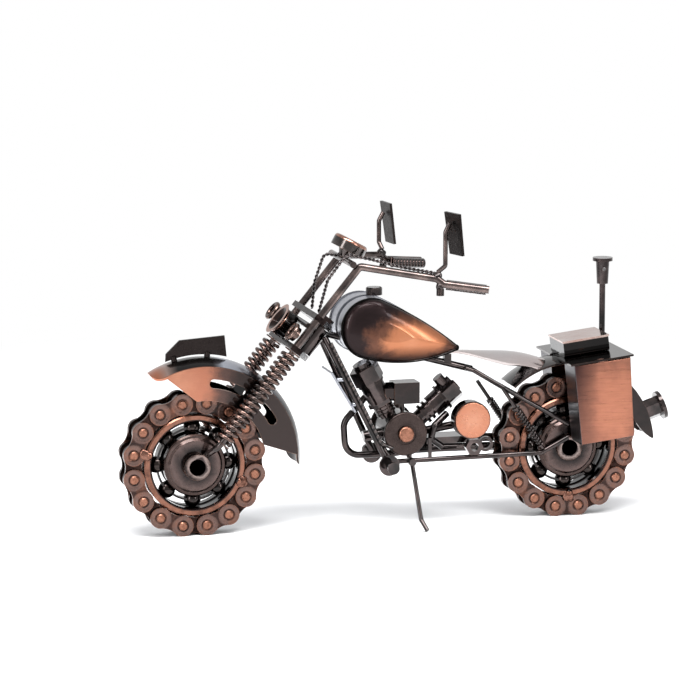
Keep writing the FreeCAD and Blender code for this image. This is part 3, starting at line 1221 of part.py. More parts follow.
# ---------------------------------------------------------------- wires
head_front = fork(high_clamp_s + CLAMP_T, 0)
clamp_top = CABLE_R + WELD_GAP
bar_wire = rod(
    [hand_clamp - BAR_TO_CLAMP * 0.15 + UP * (FORK_TUBE_R + clamp_top + 0.1),
     bar_bend + V(4.6, 1.0, FORK_TUBE_R + clamp_top + 0.3),
     fork(BAR_BEND_S + 0.4, -5.8, -10.5), fork(BAR_BEND_S - 11.6, -4.6, -8.0),
     fork(high_clamp_s + CLAMP_T + clamp_top + 0.2, 1.2, -6.0)],
    CABLE_R, 2.6,
)
speedo_wire = rod(
    [stalk_top + V(-3.4, -1.5, -1.6), fork(BAR_BEND_S - 4.1, -10.5, -1.5), fork(BAR_BEND_S - 15.2, -5.9, 0.0),
     fork(high_clamp_s + CLAMP_T + clamp_top, 0.2, 1.0)],
    CABLE_R, 2.6,
)
save("handlebar_cables", bar_wire, speedo_wire)
down_wire_gap = DOWN_TUBE_R + CABLE_R + WELD_GAP
wire_off = V(0.47, -0.89, 0) * (down_wire_gap + 0.05)
crank_wire = rod(
    [down_top + (down_low - down_top) * 0.04 + wire_off, down_top + (down_low - down_top) * 0.84 + wire_off,
     engine(-5.6, -5.2, -12.35)],
    CABLE_R, 3.0,
)
save("crank_cable", crank_wire)

assert len(NODES) <= 60, "too many nodes"
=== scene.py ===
import math
import random
import bmesh
import bpy
from mathutils import Matrix, Vector


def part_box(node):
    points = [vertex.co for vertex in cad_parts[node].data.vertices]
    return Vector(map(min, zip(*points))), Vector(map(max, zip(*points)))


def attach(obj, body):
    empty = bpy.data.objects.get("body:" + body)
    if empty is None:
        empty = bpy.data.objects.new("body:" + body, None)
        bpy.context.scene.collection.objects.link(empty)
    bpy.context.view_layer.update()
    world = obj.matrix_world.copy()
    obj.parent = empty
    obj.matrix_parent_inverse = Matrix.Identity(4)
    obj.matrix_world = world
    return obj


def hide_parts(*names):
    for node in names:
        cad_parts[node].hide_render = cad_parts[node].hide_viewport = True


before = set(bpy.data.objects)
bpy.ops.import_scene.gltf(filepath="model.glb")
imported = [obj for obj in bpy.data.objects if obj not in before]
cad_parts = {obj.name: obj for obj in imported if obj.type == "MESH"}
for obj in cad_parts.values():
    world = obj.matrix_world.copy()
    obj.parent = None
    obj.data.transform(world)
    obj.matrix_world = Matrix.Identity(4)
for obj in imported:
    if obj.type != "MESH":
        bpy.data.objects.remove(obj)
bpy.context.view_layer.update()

MM = 0.001
METAL_GAMMA = 1.4
METAL_TONE = (0.57, 0.60, 0.62)


# ---------------------------------------------------------------- materials
class Nodes:
    """Builds one material's node tree, a line to a node. Distances in it are in metres."""

    def __init__(self, name):
        self.material = bpy.data.materials.new(name)
        self.material.use_nodes = True
        self.tree = self.material.node_tree
        self.shader = self.tree.nodes["Principled BSDF"]
        self.coords = self.tree.nodes.new("ShaderNodeTexCoord").outputs["Object"]

    def add(self, kind, **values):
        node = self.tree.nodes.new(kind)
        for key, value in values.items():
            setattr(node, key, value)
        return node

    def link(self, source, target):
        self.tree.links.new(source, target)

    def mapping(self, scale=(1, 1, 1), location=(0, 0, 0)):
        node = self.add("ShaderNodeMapping", vector_type="POINT")
        node.inputs["Scale"].default_value = scale
        node.inputs["Location"].default_value = location
        self.link(self.coords, node.inputs["Vector"])
        return node.outputs["Vector"]

    def noise(self, scale, detail=4.0, rough=0.55, distortion=0.0, vector=None):
        node = self.add("ShaderNodeTexNoise")
        node.inputs["Scale"].default_value = scale
        node.inputs["Detail"].default_value = detail
        node.inputs["Roughness"].default_value = rough
        node.inputs["Distortion"].default_value = distortion
        self.link(vector if vector is not None else self.coords, node.inputs["Vector"])
        return node.outputs["Fac"]

    def math(self, operation, first, second=None, third=None, clamp=False):
        node = self.add("ShaderNodeMath", operation=operation, use_clamp=clamp)
        for index, value in enumerate((first, second, third)):
            if value is None:
                continue
            if isinstance(value, (int, float)):
                node.inputs[index].default_value = value
            else:
                self.link(value, node.inputs[index])
        return node.outputs[0]

    def ramp(self, value, stops, interpolation="LINEAR"):
        node = self.add("ShaderNodeValToRGB")
        ramp = node.color_ramp
        ramp.interpolation = interpolation
        while len(ramp.elements) < len(stops):
            ramp.elements.new(0.5)
        for element, (position, colour) in zip(ramp.elements, stops):
            element.position = position
            if isinstance(colour, (int, float)):
                colour = (colour, colour, colour)
            element.color = (*colour, 1.0)
        self.link(value, node.inputs["Fac"])
        return node.outputs["Color"]

    def mix(self, factor, first, second, blend="MIX"):
        node = self.add("ShaderNodeMix", data_type="RGBA", blend_type=blend)
        for socket, value in ((0, factor), (6, first), (7, second)):
            if isinstance(value, (int, float)):
                node.inputs[socket].default_value = value
            elif isinstance(value, tuple):
                node.inputs[socket].default_value = (*value, 1.0)
            else:
                self.link(value, node.inputs[socket])
        return node.outputs[2]

    def edges(self, radius, low=0.02, high=0.25):
        """1 on sharp edges and 0 on open faces, from the bevelled normal."""
        bevel = self.add("ShaderNodeBevel", samples=6)
        bevel.inputs["Radius"].default_value = radius
        normal = self.add("ShaderNodeNewGeometry").outputs["True Normal"]
        dot = self.add("ShaderNodeVectorMath", operation="DOT_PRODUCT")
        self.link(bevel.outputs["Normal"], dot.inputs[0])
        self.link(normal, dot.inputs[1])
        bend = self.math("SUBTRACT", 1.0, dot.outputs["Value"])
        return self.step(bend, low, high)

    def bump(self, height, strength, distance):
        node = self.add("ShaderNodeBump")
        node.inputs["Strength"].default_value = strength
        node.inputs["Distance"].default_value = distance
        self.link(height, node.inputs["Height"])
        self.link(node.outputs["Normal"], self.shader.inputs["Normal"])

    def distance_from(self, centre, radii):
        """Distance from a point, in units of the given radii."""
        scale = tuple(1.0 / r for r in radii)
        location = tuple(-c / r for c, r in zip(centre, radii))
        vector = self.mapping(scale=scale, location=location)
        length = self.add("ShaderNodeVectorMath", operation="LENGTH")
        self.link(vector, length.inputs[0])
        return length.outputs["Value"]

    def axis(self, index):
        """The piece's x, y or z at the point that is shaded."""
        node = self.add("ShaderNodeSeparateXYZ")
        self.link(self.coords, node.inputs[0])
        return node.outputs[index]

    def facing(self, direction):
        """How far the surface faces a direction fixed to the piece."""
        coords = self.add("ShaderNodeTexCoord")
        dot = self.add("ShaderNodeVectorMath", operation="DOT_PRODUCT")
        self.link(coords.outputs["Normal"], dot.inputs[0])
        dot.inputs[1].default_value = direction
        return dot.outputs["Value"]

    def along(self, origin, direction):
        """Distance from a point, measured along a direction."""
        shift = self.add("ShaderNodeVectorMath", operation="SUBTRACT")
        self.link(self.coords, shift.inputs[0])
        shift.inputs[1].default_value = origin
        dot = self.add("ShaderNodeVectorMath", operation="DOT_PRODUCT")
        self.link(shift.outputs["Vector"], dot.inputs[0])
        dot.inputs[1].default_value = direction
        return dot.outputs["Value"]

    def off_axis(self, origin, direction):
        """Distance from an axis."""
        shift = self.add("ShaderNodeVectorMath", operation="SUBTRACT")
        self.link(self.coords, shift.inputs[0])
        shift.inputs[1].default_value = origin
        cross = self.add("ShaderNodeVectorMath", operation="CROSS_PRODUCT")
        self.link(shift.outputs["Vector"], cross.inputs[0])
        cross.inputs[1].default_value = direction
        length = self.add("ShaderNodeVectorMath", operation="LENGTH")
        self.link(cross.outputs["Vector"], length.inputs[0])
        return length.outputs["Value"]

    def step(self, value, low, high):
        """0 at low and 1 at high, level beyond both. A high that is less than low turns it round."""
        return self.math("MULTIPLY", self.math("SUBTRACT", value, low), 1.0 / (high - low), clamp=True)

    def finish(self, colour, roughness, metallic=1.0, coat=0.0, coat_roughness=0.1):
        """Feeds the shader. A metal's colour is deepened first, for the pale studio it reflects."""
        shader = self.shader
        if metallic:
            deeper = self.add("ShaderNodeGamma")
            deeper.inputs["Gamma"].default_value = METAL_GAMMA
            self.link(colour, deeper.inputs["Color"])
            colour = self.mix(1.0, deeper.outputs[0], METAL_TONE, "MULTIPLY")
        self.link(colour, shader.inputs["Base Color"])
        if isinstance(roughness, float):
            shader.inputs["Roughness"].default_value = roughness
        else:
            self.link(roughness, shader.inputs["Roughness"])
        shader.inputs["Metallic"].default_value = metallic
        shader.inputs["Coat Weight"].default_value = coat
        shader.inputs["Coat Roughness"].default_value = coat_roughness
        return self.material


COPPER = (0.78, 0.36, 0.235)
COPPER_PALE = (0.90, 0.56, 0.42)
COPPER_DEEP = (0.40, 0.155, 0.09)
BLACK = (0.016, 0.013, 0.013)
EDGE_BLACK = (0.02, 0.015, 0.015)
SKIRT_BLACK = (0.012, 0.01, 0.01)
Y_AXIS = (0.0, 1.0, 0.0)


# ---------------------------------------------------------------- the motorcycle's own measures
# Sizes of the CAD model that its boxes don't tell, in millimetres and degrees
CHAIN_PITCH = 9.525
CHAIN_PINS = 16
PLATE_END_R = 4.13           # from a pin to the end of its link plate
RING_SEAT = 0.28             # between the chain plates and the outer ring
RING_SEAM_R = 17.8           # where the copper rim gives way to the dark race
AXLE_BORE_R = 3.1
FENDER_OFFSET = (3.5, 0.0, 2.2)
FENDER_EDGE_R = 36.8
RAKE = 39.5                  # steering axis from the vertical
FORK_HALF_TRACK = 15.5
FORK_TUBE_R = 1.5
WELD_GAP = 0.08
RUN_GAP = 0.3
HEAD_HIGH_S = 72.5           # top of the steering head, along the fork
CLAMP_T = 2.3
CROSSBAR_S = 98.5
CROSSBAR_R = 1.3
BAR_BEND_S = 99.6
BAR_TO_HAND = (26.8, -14.5, -3.6)
BAR_END_RUN = (16.2, -6.6, -1.9)
BAR_TO_RIGHT_HAND = (BAR_TO_HAND[0] - 6.3, -BAR_TO_HAND[1], BAR_TO_HAND[2] + 1.0)
SPEEDO_TILT = 28.5
SPEEDO_STALK_HEIGHT = 3.6
SPEEDO_HEIGHT = 4.7
HEADLAMP_S = 64.7
HEADLAMP_LENGTH = 4.8
HEADLAMP_RIM_T = 1.2
LAMP_BAR_R = 1.2
CABLE_RUN = (24.5, -3.0, -42.7)
TOP_BOX_PITCH = 7.0
WIRE_LIFT = 0.78             # from a bar's surface to the middle of the wires on it


def middle(node):
    low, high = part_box(node)
    return tuple((a + b) / 2.0 for a, b in zip(low, high))


def along(node, shares):
    """A point inside a node's box, by shares of its three sides."""
    low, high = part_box(node)
    return tuple(a + (b - a) * s for a, b, s in zip(low, high, shares))


PIN_CIRCLE = CHAIN_PITCH * MM / (2.0 * math.sin(math.pi / CHAIN_PINS))
AXLES = {"front": Vector(middle("front_chain_pins")), "rear": Vector(middle("rear_chain_pins"))}
RAKE_ANGLE = math.radians(RAKE)
UP_FORK = Vector((math.sin(RAKE_ANGLE), 0, math.cos(RAKE_ANGLE)))
BEHIND_FORK = Vector((math.cos(RAKE_ANGLE), 0, -math.sin(RAKE_ANGLE)))
TILT_ANGLE = math.radians(SPEEDO_TILT)
SPEEDO_UP = Vector((math.sin(TILT_ANGLE), 0, math.cos(TILT_ANGLE)))


def fork(s, back=0.0, y=0.0):
    """A point s millimetres up the fork from the front axle, back from its line, and y to the side."""
    return AXLES["front"] + (UP_FORK * s + BEHIND_FORK * back + Vector((0, y, 0))) * MM


to_hand = Vector(BAR_TO_HAND) * MM
left_bend = fork(BAR_BEND_S, 0, -FORK_HALF_TRACK)
left_hand = left_bend + to_hand
right_hand = fork(BAR_BEND_S, 0, FORK_HALF_TRACK) + Vector(BAR_TO_RIGHT_HAND) * MM
crossbar_mid = fork(CROSSBAR_S, -(FORK_TUBE_R + CROSSBAR_R + WELD_GAP))


# ---------------------------------------------------------------- metals
def rod_metal(name, dark=BLACK, light=(0.105, 0.078, 0.072), wear=COPPER_DEEP,
              wear_amount=0.10, rough=0.15, thread=None):
    """Blackened rod: glossy, a little patchy, rubbed brown on its edges.

    A thread is a direction and a pitch, and draws grooves across that direction, with painted shade in the
    grooves and their crests painted lighter.
    """
    n = Nodes(name)
    patches = n.noise(120, 4.0, 0.55)
    body = n.ramp(patches, [(0.34, dark), (0.72, light)])
    rubbed = n.math("MULTIPLY", n.edges(0.25 * MM), wear_amount)
    colour = n.mix(rubbed, body, wear)
    fine = n.noise(700, 3.0, 0.6)
    roughness = n.ramp(fine, [(0.3, rough * 0.7), (0.75, rough * 1.7)])
    if thread is None:
        n.bump(n.noise(300, 2.0, 0.5), 0.05, 0.2 * MM)
    else:
        direction, pitch = thread
        turns = n.math("SINE", n.math("MULTIPLY", n.along((0, 0, 0), direction), 2.0 * math.pi / pitch))
        grooves = n.math("MULTIPLY_ADD", turns, 0.5, 0.5)
        # Painted shade: the grooves are darkened nearly to black and the crests lightened, as light and
        # shade would fall on the thread
        groove_shade = n.mix(0.7, colour, (0.004, 0.003, 0.003))
        colour = n.mix(n.math("MULTIPLY", grooves, 0.55), groove_shade, light)
        n.bump(grooves, 0.9, 0.4 * MM)
    return n.finish(colour, roughness, 0.95, coat=0.5, coat_roughness=0.05)


def plate_metal(name, body_dark, body_light, edge_colour,
                edge_amount=0.9, rough=0.3, scale=200, specks=0.12, coat=0.0):
    """Cut plate: oxide-brown faces with small stains, the copper showing on its edges."""
    n = Nodes(name)
    stains = n.noise(scale, 6.0, 0.62, 0.4)
    body = n.ramp(stains, [(0.3, body_dark), (0.55, body_light), (0.8, body_dark)])
    dots = n.ramp(n.noise(1300, 2.0, 0.5), [(0.62, 0.0), (0.76, 1.0)])
    body = n.mix(n.math("MULTIPLY", dots, specks), body, edge_colour)
    broken = n.ramp(n.noise(520, 4.0, 0.6), [(0.28, 0.35), (0.62, 1.0)])
    rubbed = n.math("MULTIPLY", n.math("MULTIPLY", n.edges(0.3 * MM), broken), edge_amount)
    colour = n.mix(rubbed, body, edge_colour)
    roughness = n.ramp(n.noise(600, 4.0, 0.6), [(0.25, rough * 0.7), (0.8, rough * 1.5)])
    n.bump(n.noise(500, 4.0, 0.6), 0.10, 0.12 * MM)
    return n.finish(colour, roughness, 1.0, coat=coat, coat_roughness=0.06)


def chain_metal(name, axle, dark, light, edge_colour):
    """Link plates of one tyre: a dished ring round every pin, painted with a shadow in the groove at the
    pin, shade in the dish and a highlight on its crest.
    """
    n = Nodes(name)
    radius = n.off_axis(axle, Y_AXIS)
    over = n.axis(0)
    height = n.axis(2)
    angle = n.math("ARCTAN2", n.math("SUBTRACT", height, axle[2]), n.math("SUBTRACT", over, axle[0]))
    pitch = 2.0 * math.pi / CHAIN_PINS
    turns = n.math("DIVIDE", n.math("SUBTRACT", angle, pitch / 2.0), pitch)
    share = n.math("SUBTRACT", turns, n.math("ROUND", turns))
    sideways = n.math("MULTIPLY", share, pitch * PIN_CIRCLE)
    outward = n.math("SUBTRACT", radius, PIN_CIRCLE)
    reach = n.math("SQRT", n.math("ADD", n.math("POWER", sideways, 2.0), n.math("POWER", outward, 2.0)))
    cloud = n.math("MULTIPLY", n.math("SUBTRACT", n.noise(260, 4.0, 0.6), 0.5), 0.6 * MM)
    value = n.math("DIVIDE", n.math("ADD", reach, cloud), 5.0 * MM)
    # Painted light and shade: a near black shadow in the groove round each pin, the darker tone as shade in
    # the dish, the lighter tone as a highlight on the raised rim
    pin_shadow = (0.006, 0.004, 0.004)
    crest = tuple(0.85 * c for c in light)
    body = n.ramp(value, [(0.34, pin_shadow), (0.42, dark), (0.52, light), (0.80, crest), (0.92, dark)])
    stains = n.noise(170, 5.0, 0.6, 0.3)
    warm = n.ramp(stains, [(0.47, 0.0), (0.70, 0.6)])
    body = n.mix(warm, body, tuple(0.75 * c for c in edge_colour))
    rubbed = n.math("MULTIPLY", n.edges(0.4 * MM), 0.85)
    colour = n.mix(rubbed, body, edge_colour)
    roughness = n.ramp(n.noise(600, 4.0, 0.6), [(0.25, 0.2), (0.8, 0.42)])
    dish = n.ramp(value, [(0.36, 0.0), (0.46, 0.6), (0.78, 1.0), (1.0, 0.5)], "EASE")
    n.bump(dish, 0.5, 0.6 * MM)
    return n.finish(colour, roughness, 1.0, coat=0.2, coat_roughness=0.1)


def ring_metal(name, axle, seam):
    """Bearing ring: copper rim outside the seam, dark race inside it."""
    n = Nodes(name)
    radius = n.off_axis(axle, Y_AXIS)
    stains = n.noise(190, 5.0, 0.6, 0.3)
    rim = n.ramp(stains, [(0.3, (0.20, 0.10, 0.07)), (0.55, (0.46, 0.24, 0.17)), (0.8, (0.28, 0.14, 0.10))])
    outside = n.step(radius, seam, seam + 0.3 * MM)
    colour = n.mix(outside, (0.022, 0.018, 0.018), rim)
    rubbed = n.math("MULTIPLY", n.edges(0.3 * MM), 0.8)
    colour = n.mix(rubbed, colour, COPPER)
    roughness = n.ramp(n.noise(600, 4.0, 0.6), [(0.25, 0.14), (0.8, 0.3)])
    n.bump(n.noise(400, 3.0, 0.6), 0.08, 0.1 * MM)
    return n.finish(colour, roughness, 1.0, coat=0.3, coat_roughness=0.06)


def hub_metal(name, axle, bore):
    """Hub: a brown disc, smoky towards its middle, with painted shade in the bore, black and without
    reflection.
    """
    n = Nodes(name)
    radius = n.off_axis(axle, Y_AXIS)
    cloud = n.math("MULTIPLY", n.math("SUBTRACT", n.noise(140, 4.0, 0.6, 0.5), 0.5), 6.0 * MM)
    value = n.math("DIVIDE", n.math("ADD", radius, cloud), 12.5 * MM)
    body = n.ramp(value, [
        (0.23, (0.12, 0.09, 0.085)), (0.29, (0.46, 0.37, 0.34)), (0.38, (0.20, 0.15, 0.135)),
        (0.42, (0.03, 0.022, 0.022)), (0.52, (0.09, 0.068, 0.064)), (0.76, (0.24, 0.175, 0.16)),
        (0.92, (0.13, 0.09, 0.08)),
    ])
    rubbed = n.math("MULTIPLY", n.edges(0.3 * MM), 0.6)
    colour = n.mix(rubbed, body, (0.55, 0.32, 0.24))
    # Painted shade in the bore: black there, with metal, coat and specular reflection turned off
    solid = n.step(radius, bore + 0.1 * MM, bore + 0.2 * MM)
    colour = n.mix(solid, (0.003, 0.002, 0.002), colour)
    roughness = n.ramp(n.noise(600, 4.0, 0.6), [(0.25, 0.16), (0.8, 0.34)])
    n.bump(n.noise(350, 3.0, 0.6), 0.06, 0.1 * MM)
    material = n.finish(colour, roughness, 1.0, coat=0.25, coat_roughness=0.08)
    n.link(solid, n.shader.inputs["Metallic"])
    n.link(n.math("MULTIPLY", solid, 0.25), n.shader.inputs["Coat Weight"])
    n.link(n.math("MULTIPLY", solid, 0.5), n.shader.inputs["Specular IOR Level"])
    return material


def rubbed_sheet(name, centre, radii, stops, brush=(60, 2600, 2600), rough=0.22, blotch=0.35,
                 edge=COPPER_PALE, edge_amount=0.8, over=None, streaks=0.18, coat=0.3):
    """Sheet with the black rubbed through to copper round a point, and fine brush lines.

    The radii, in metres, say how far the copper reaches. over is a function that lays the sheet's own bands
    on that colour.
    """
    n = Nodes(name)
    reach = n.distance_from(centre, radii)
    cloud = n.math("MULTIPLY", n.math("SUBTRACT", n.noise(95, 4.0, 0.6, 0.6), 0.5), blotch * 2.0)
    smoky = n.math("MULTIPLY", n.math("SUBTRACT", n.noise(330, 4.0, 0.6), 0.5), blotch * 0.8)
    value = n.math("ADD", n.math("ADD", reach, cloud), smoky, clamp=True)
    body = n.ramp(value, stops, "EASE")
    lines = n.noise(1.0, 3.0, 0.6, 0.0, n.mapping(scale=brush))
    streak = n.ramp(lines, [(0.25, 1.0 - streaks), (0.5, 1.0), (0.78, 1.0 + 0.6 * streaks)])
    body = n.mix(1.0, body, streak, "MULTIPLY")
    if over is not None:
        body = over(n, body)
    rubbed = n.math("MULTIPLY", n.edges(0.25 * MM), edge_amount)
    colour = n.mix(rubbed, body, edge)
    roughness = n.ramp(lines, [(0.2, rough * 0.75), (0.8, rough * 1.4)])
    n.bump(lines, 0.06, 0.06 * MM)
    return n.finish(colour, roughness, 1.0, coat=coat, coat_roughness=0.05)


BLACK_ROD = rod_metal(
    "black_rod", dark=(0.035, 0.027, 0.026), light=(0.20, 0.15, 0.14), wear_amount=0.0, rough=0.12,
)
BRIGHT_ROD = rod_metal(
    "bright_rod", dark=(0.09, 0.068, 0.064), light=(0.42, 0.32, 0.29), wear_amount=0.0, rough=0.13,
)
TWISTED_ROD = rod_metal(
    "twisted_rod", dark=(0.05, 0.04, 0.038), light=(0.36, 0.29, 0.27), wear_amount=0.0,
    thread=(Vector(CABLE_RUN).normalized(), 2.1 * MM),
)
GRIP = rod_metal(
    "grip_thread", dark=(0.05, 0.04, 0.038), light=(0.34, 0.25, 0.23),
    thread=(Vector(BAR_END_RUN).normalized(), 1.1 * MM),
)
DARK_BOLT = rod_metal(
    "dark_bolt", dark=(0.03, 0.023, 0.022), light=(0.24, 0.18, 0.17),
    wear=(0.6, 0.42, 0.36), wear_amount=0.45,
)
SPRING_DARK = rod_metal(
    "spring_dark", dark=(0.10, 0.068, 0.058), light=(0.46, 0.30, 0.25), wear_amount=0.0, rough=0.13,
)
WIRE = rod_metal("wire", dark=(0.03, 0.024, 0.024), light=(0.34, 0.28, 0.27), wear_amount=0.0, rough=0.11)
# The chain's lighter tone is a painted highlight on the link rims; the darker one is painted shade in the
# dishes and the plates' tone past the rims
CHAIN_RIM_HIGHLIGHT = (0.33, 0.22, 0.19)
CHAIN_DARK = (0.11, 0.065, 0.055)
CHAIN_EDGE = (0.60, 0.29, 0.19)
CHAINS = {}
RINGS = {}
HUBS = {}
for side, axle in AXLES.items():
    CHAINS[side] = chain_metal("chain_" + side, axle, CHAIN_DARK, CHAIN_RIM_HIGHLIGHT, CHAIN_EDGE)
    RINGS[side] = ring_metal("ring_" + side, axle, RING_SEAM_R * MM)
    HUBS[side] = hub_metal("hub_" + side, axle, AXLE_BORE_R * MM)
CHAIN_INNER = plate_metal(
    "chain_inner", (0.03, 0.02, 0.018), (0.11, 0.07, 0.06), (0.5, 0.22, 0.14),
    edge_amount=0.7, rough=0.24,
)
PIN_COPPER = plate_metal(
    "pin_copper", (0.32, 0.17, 0.12), (0.58, 0.32, 0.235), COPPER_PALE,
    edge_amount=0.4, scale=700,
)
BALL_DARK = plate_metal(
    "ball_dark", (0.02, 0.016, 0.015), (0.10, 0.07, 0.06), COPPER,
    edge_amount=0.1, rough=0.1, scale=260, specks=0.0, coat=0.4,
)
CAGE_DARK = plate_metal(
    "cage_dark", (0.012, 0.01, 0.01), (0.05, 0.04, 0.038), (0.3, 0.2, 0.17),
    edge_amount=0.3, rough=0.14, scale=260, specks=0.0, coat=0.5,
)
SIGNAL_COPPER = plate_metal(
    "signal_copper", (0.10, 0.075, 0.07), (0.42, 0.31, 0.27), (0.85, 0.66, 0.58),
    rough=0.2, scale=180, specks=0.0,
)
CLAMP_DARK = plate_metal(
    "clamp_dark", (0.03, 0.023, 0.022), (0.12, 0.09, 0.085), (0.45, 0.34, 0.3),
    edge_amount=0.4, rough=0.28, specks=0.0,
)
DARK_SHEET = plate_metal(
    "dark_sheet", (0.02, 0.015, 0.015), (0.075, 0.05, 0.045), (0.5, 0.3, 0.22),
    edge_amount=0.6, rough=0.14, scale=60, specks=0.0, coat=0.4,
)
PLATE_BROWN = plate_metal(
    "plate_brown", (0.07, 0.055, 0.052), (0.10, 0.082, 0.078), EDGE_BLACK,
    edge_amount=0.7, scale=40, specks=0.0,
)
# Painted reflection: the front guard's pale grey-blue stands for the white room it reflects
REFLECTION_SHEET = plate_metal(
    "pale_reflection_sheet", (0.46, 0.45, 0.48), (0.66, 0.65, 0.68), EDGE_BLACK,
    edge_amount=1.0, rough=0.2, scale=60, specks=0.0,
)
CRANK_PLATE = plate_metal(
    "crank_plate", (0.10, 0.078, 0.072), (0.17, 0.132, 0.122), EDGE_BLACK,
    edge_amount=0.8, rough=0.24, scale=70, specks=0.05,
)
WELD_COPPER = plate_metal(
    "weld_copper", (0.16, 0.085, 0.065), (0.48, 0.28, 0.22), COPPER_PALE,
    edge_amount=0.2, rough=0.26, scale=500, specks=0.2,
)


def lamp_metal(name, front_centre, ahead, rim_depth, rim_inner, face_dark, side_dark):
    """A drum with a copper rim on its front edge, a smoky face inside it and a dark side behind."""
    n = Nodes(name)
    depth = n.along(front_centre, ahead)
    radius = n.off_axis(front_centre, ahead)
    stains = n.noise(240, 5.0, 0.6, 0.3)
    rim = n.ramp(stains, [(0.3, (0.52, 0.27, 0.20)), (0.6, (0.86, 0.55, 0.44)), (0.8, (0.62, 0.34, 0.26))])
    face = n.ramp(stains, [(0.3, face_dark), (0.7, tuple(2.2 * c for c in face_dark))])
    side = n.ramp(n.noise(160, 4.0, 0.6), [(0.3, side_dark), (0.7, tuple(3.0 * c for c in side_dark))])
    front = n.mix(n.step(radius, rim_inner, rim_inner + 0.3 * MM), face, rim)
    colour = n.mix(n.step(depth, -rim_depth - 0.3 * MM, -rim_depth), side, front)
    rubbed = n.math("MULTIPLY", n.edges(0.25 * MM), 0.5)
    colour = n.mix(rubbed, colour, COPPER_PALE)
    roughness = n.ramp(n.noise(600, 3.0, 0.6), [(0.25, 0.12), (0.8, 0.26)])
    n.bump(n.noise(350, 3.0, 0.6), 0.06, 0.1 * MM)
    return n.finish(colour, roughness, 1.0, coat=0.35, coat_roughness=0.05)


speedo_top = crossbar_mid + SPEEDO_UP * (SPEEDO_STALK_HEIGHT + SPEEDO_HEIGHT) * MM
SPEEDO = lamp_metal(
    "speedo_metal", speedo_top, SPEEDO_UP, rim_depth=1.1 * MM, rim_inner=5.2 * MM,
    face_dark=(0.30, 0.17, 0.13), side_dark=(0.10, 0.085, 0.08),
)
lamp_back = -(FORK_TUBE_R + LAMP_BAR_R + WELD_GAP)
lamp_front = fork(HEADLAMP_S, lamp_back - HEADLAMP_LENGTH - HEADLAMP_RIM_T)
HEADLAMP = lamp_metal(
    "headlamp_metal", lamp_front, -BEHIND_FORK, rim_depth=1.3 * MM, rim_inner=5.0 * MM,
    face_dark=(0.05, 0.025, 0.02), side_dark=(0.018, 0.013, 0.012),
)


def tank_bands(n, body):
    """Pale walls between the seams, a painted reflection of the white room; a dark line on each seam;
    darker along the foot of the dome.
    """
    width = n.math("ABSOLUTE", n.axis(1))
    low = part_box("tank_shells")[0][2]
    # Darker along the foot of the dome
    foot = n.step(n.axis(2), low + 7.5 * MM, low + 2.5 * MM)
    body = n.mix(n.math("MULTIPLY", foot, 0.8), body, (0.05, 0.03, 0.028))
    # Painted reflection: the walls are painted pale blue-white for the white room they reflect
    wall = n.step(width, 9.9 * MM, 9.6 * MM)
    pale = n.ramp(n.noise(50, 3.0, 0.5), [(0.3, (0.70, 0.68, 0.71)), (0.7, (0.95, 0.94, 0.98))])
    body = n.mix(wall, body, pale)
    seam = n.math("MULTIPLY", n.step(width, 9.1 * MM, 9.4 * MM), n.step(width, 10.4 * MM, 10.0 * MM))
    return n.mix(seam, body, (0.02, 0.016, 0.016))


def fender_bands(n, body):
    """The crown: orange on the front tongue, then painted reflections: a pale band, black under the plate
    for the plate reflected there, then the white room, pale, going to black.

    The fender's inner side is black all over.
    """
    low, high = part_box("front_fender")
    width = n.math("ABSOLUTE", n.axis(1))
    x_share = n.math("DIVIDE", n.math("SUBTRACT", n.axis(0), low[0]), high[0] - low[0])
    # Painted reflections on the crown: the black band stands for the plate above it, the pale bands for the
    # white room
    crown = n.ramp(x_share, [
        (0.04, (0.80, 0.36, 0.22)), (0.10, (0.70, 0.52, 0.46)), (0.17, (0.05, 0.04, 0.04)),
        (0.40, (0.04, 0.03, 0.03)), (0.47, (0.80, 0.80, 0.86)), (0.72, (0.52, 0.50, 0.53)),
        (0.9, (0.08, 0.07, 0.07)),
    ])
    body = n.mix(n.step(width, 9.0 * MM, 8.7 * MM), body, crown)
    reach = n.off_axis(AXLES["front"] + Vector(FENDER_OFFSET) * MM, Y_AXIS)
    under = n.step(reach, FENDER_EDGE_R * MM, (FENDER_EDGE_R - 0.4) * MM)
    inside = n.math("MULTIPLY", under, n.step(width, 8.8 * MM, 8.6 * MM))
    return n.mix(inside, body, SKIRT_BLACK)


def box_bands(n, body):
    """The side darker towards its front edge, most of all high up, and the face that looks ahead plain
    grey, a painted reflection of the room.
    """
    low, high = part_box("side_boxes")
    share = n.math("DIVIDE", n.math("SUBTRACT", n.axis(0), low[0]), high[0] - low[0])
    # Darker towards the front edge, most of all high up
    darker_front = n.ramp(share, [(0.04, 0.9), (0.16, 0.55), (0.40, 0.0)])
    upper = n.step(n.axis(2), low[2] + 6.0 * MM, high[2] - 4.0 * MM)
    darker_front = n.math("MULTIPLY", darker_front, n.math("MULTIPLY_ADD", upper, 0.7, 0.3))
    body = n.mix(darker_front, body, (0.10, 0.06, 0.06))
    # Painted reflection: the face that looks ahead is grey, for the room it reflects
    ahead = n.step(n.facing((-1, 0, 0)), 0.5, 0.8)
    return n.mix(ahead, body, (0.22, 0.205, 0.215))


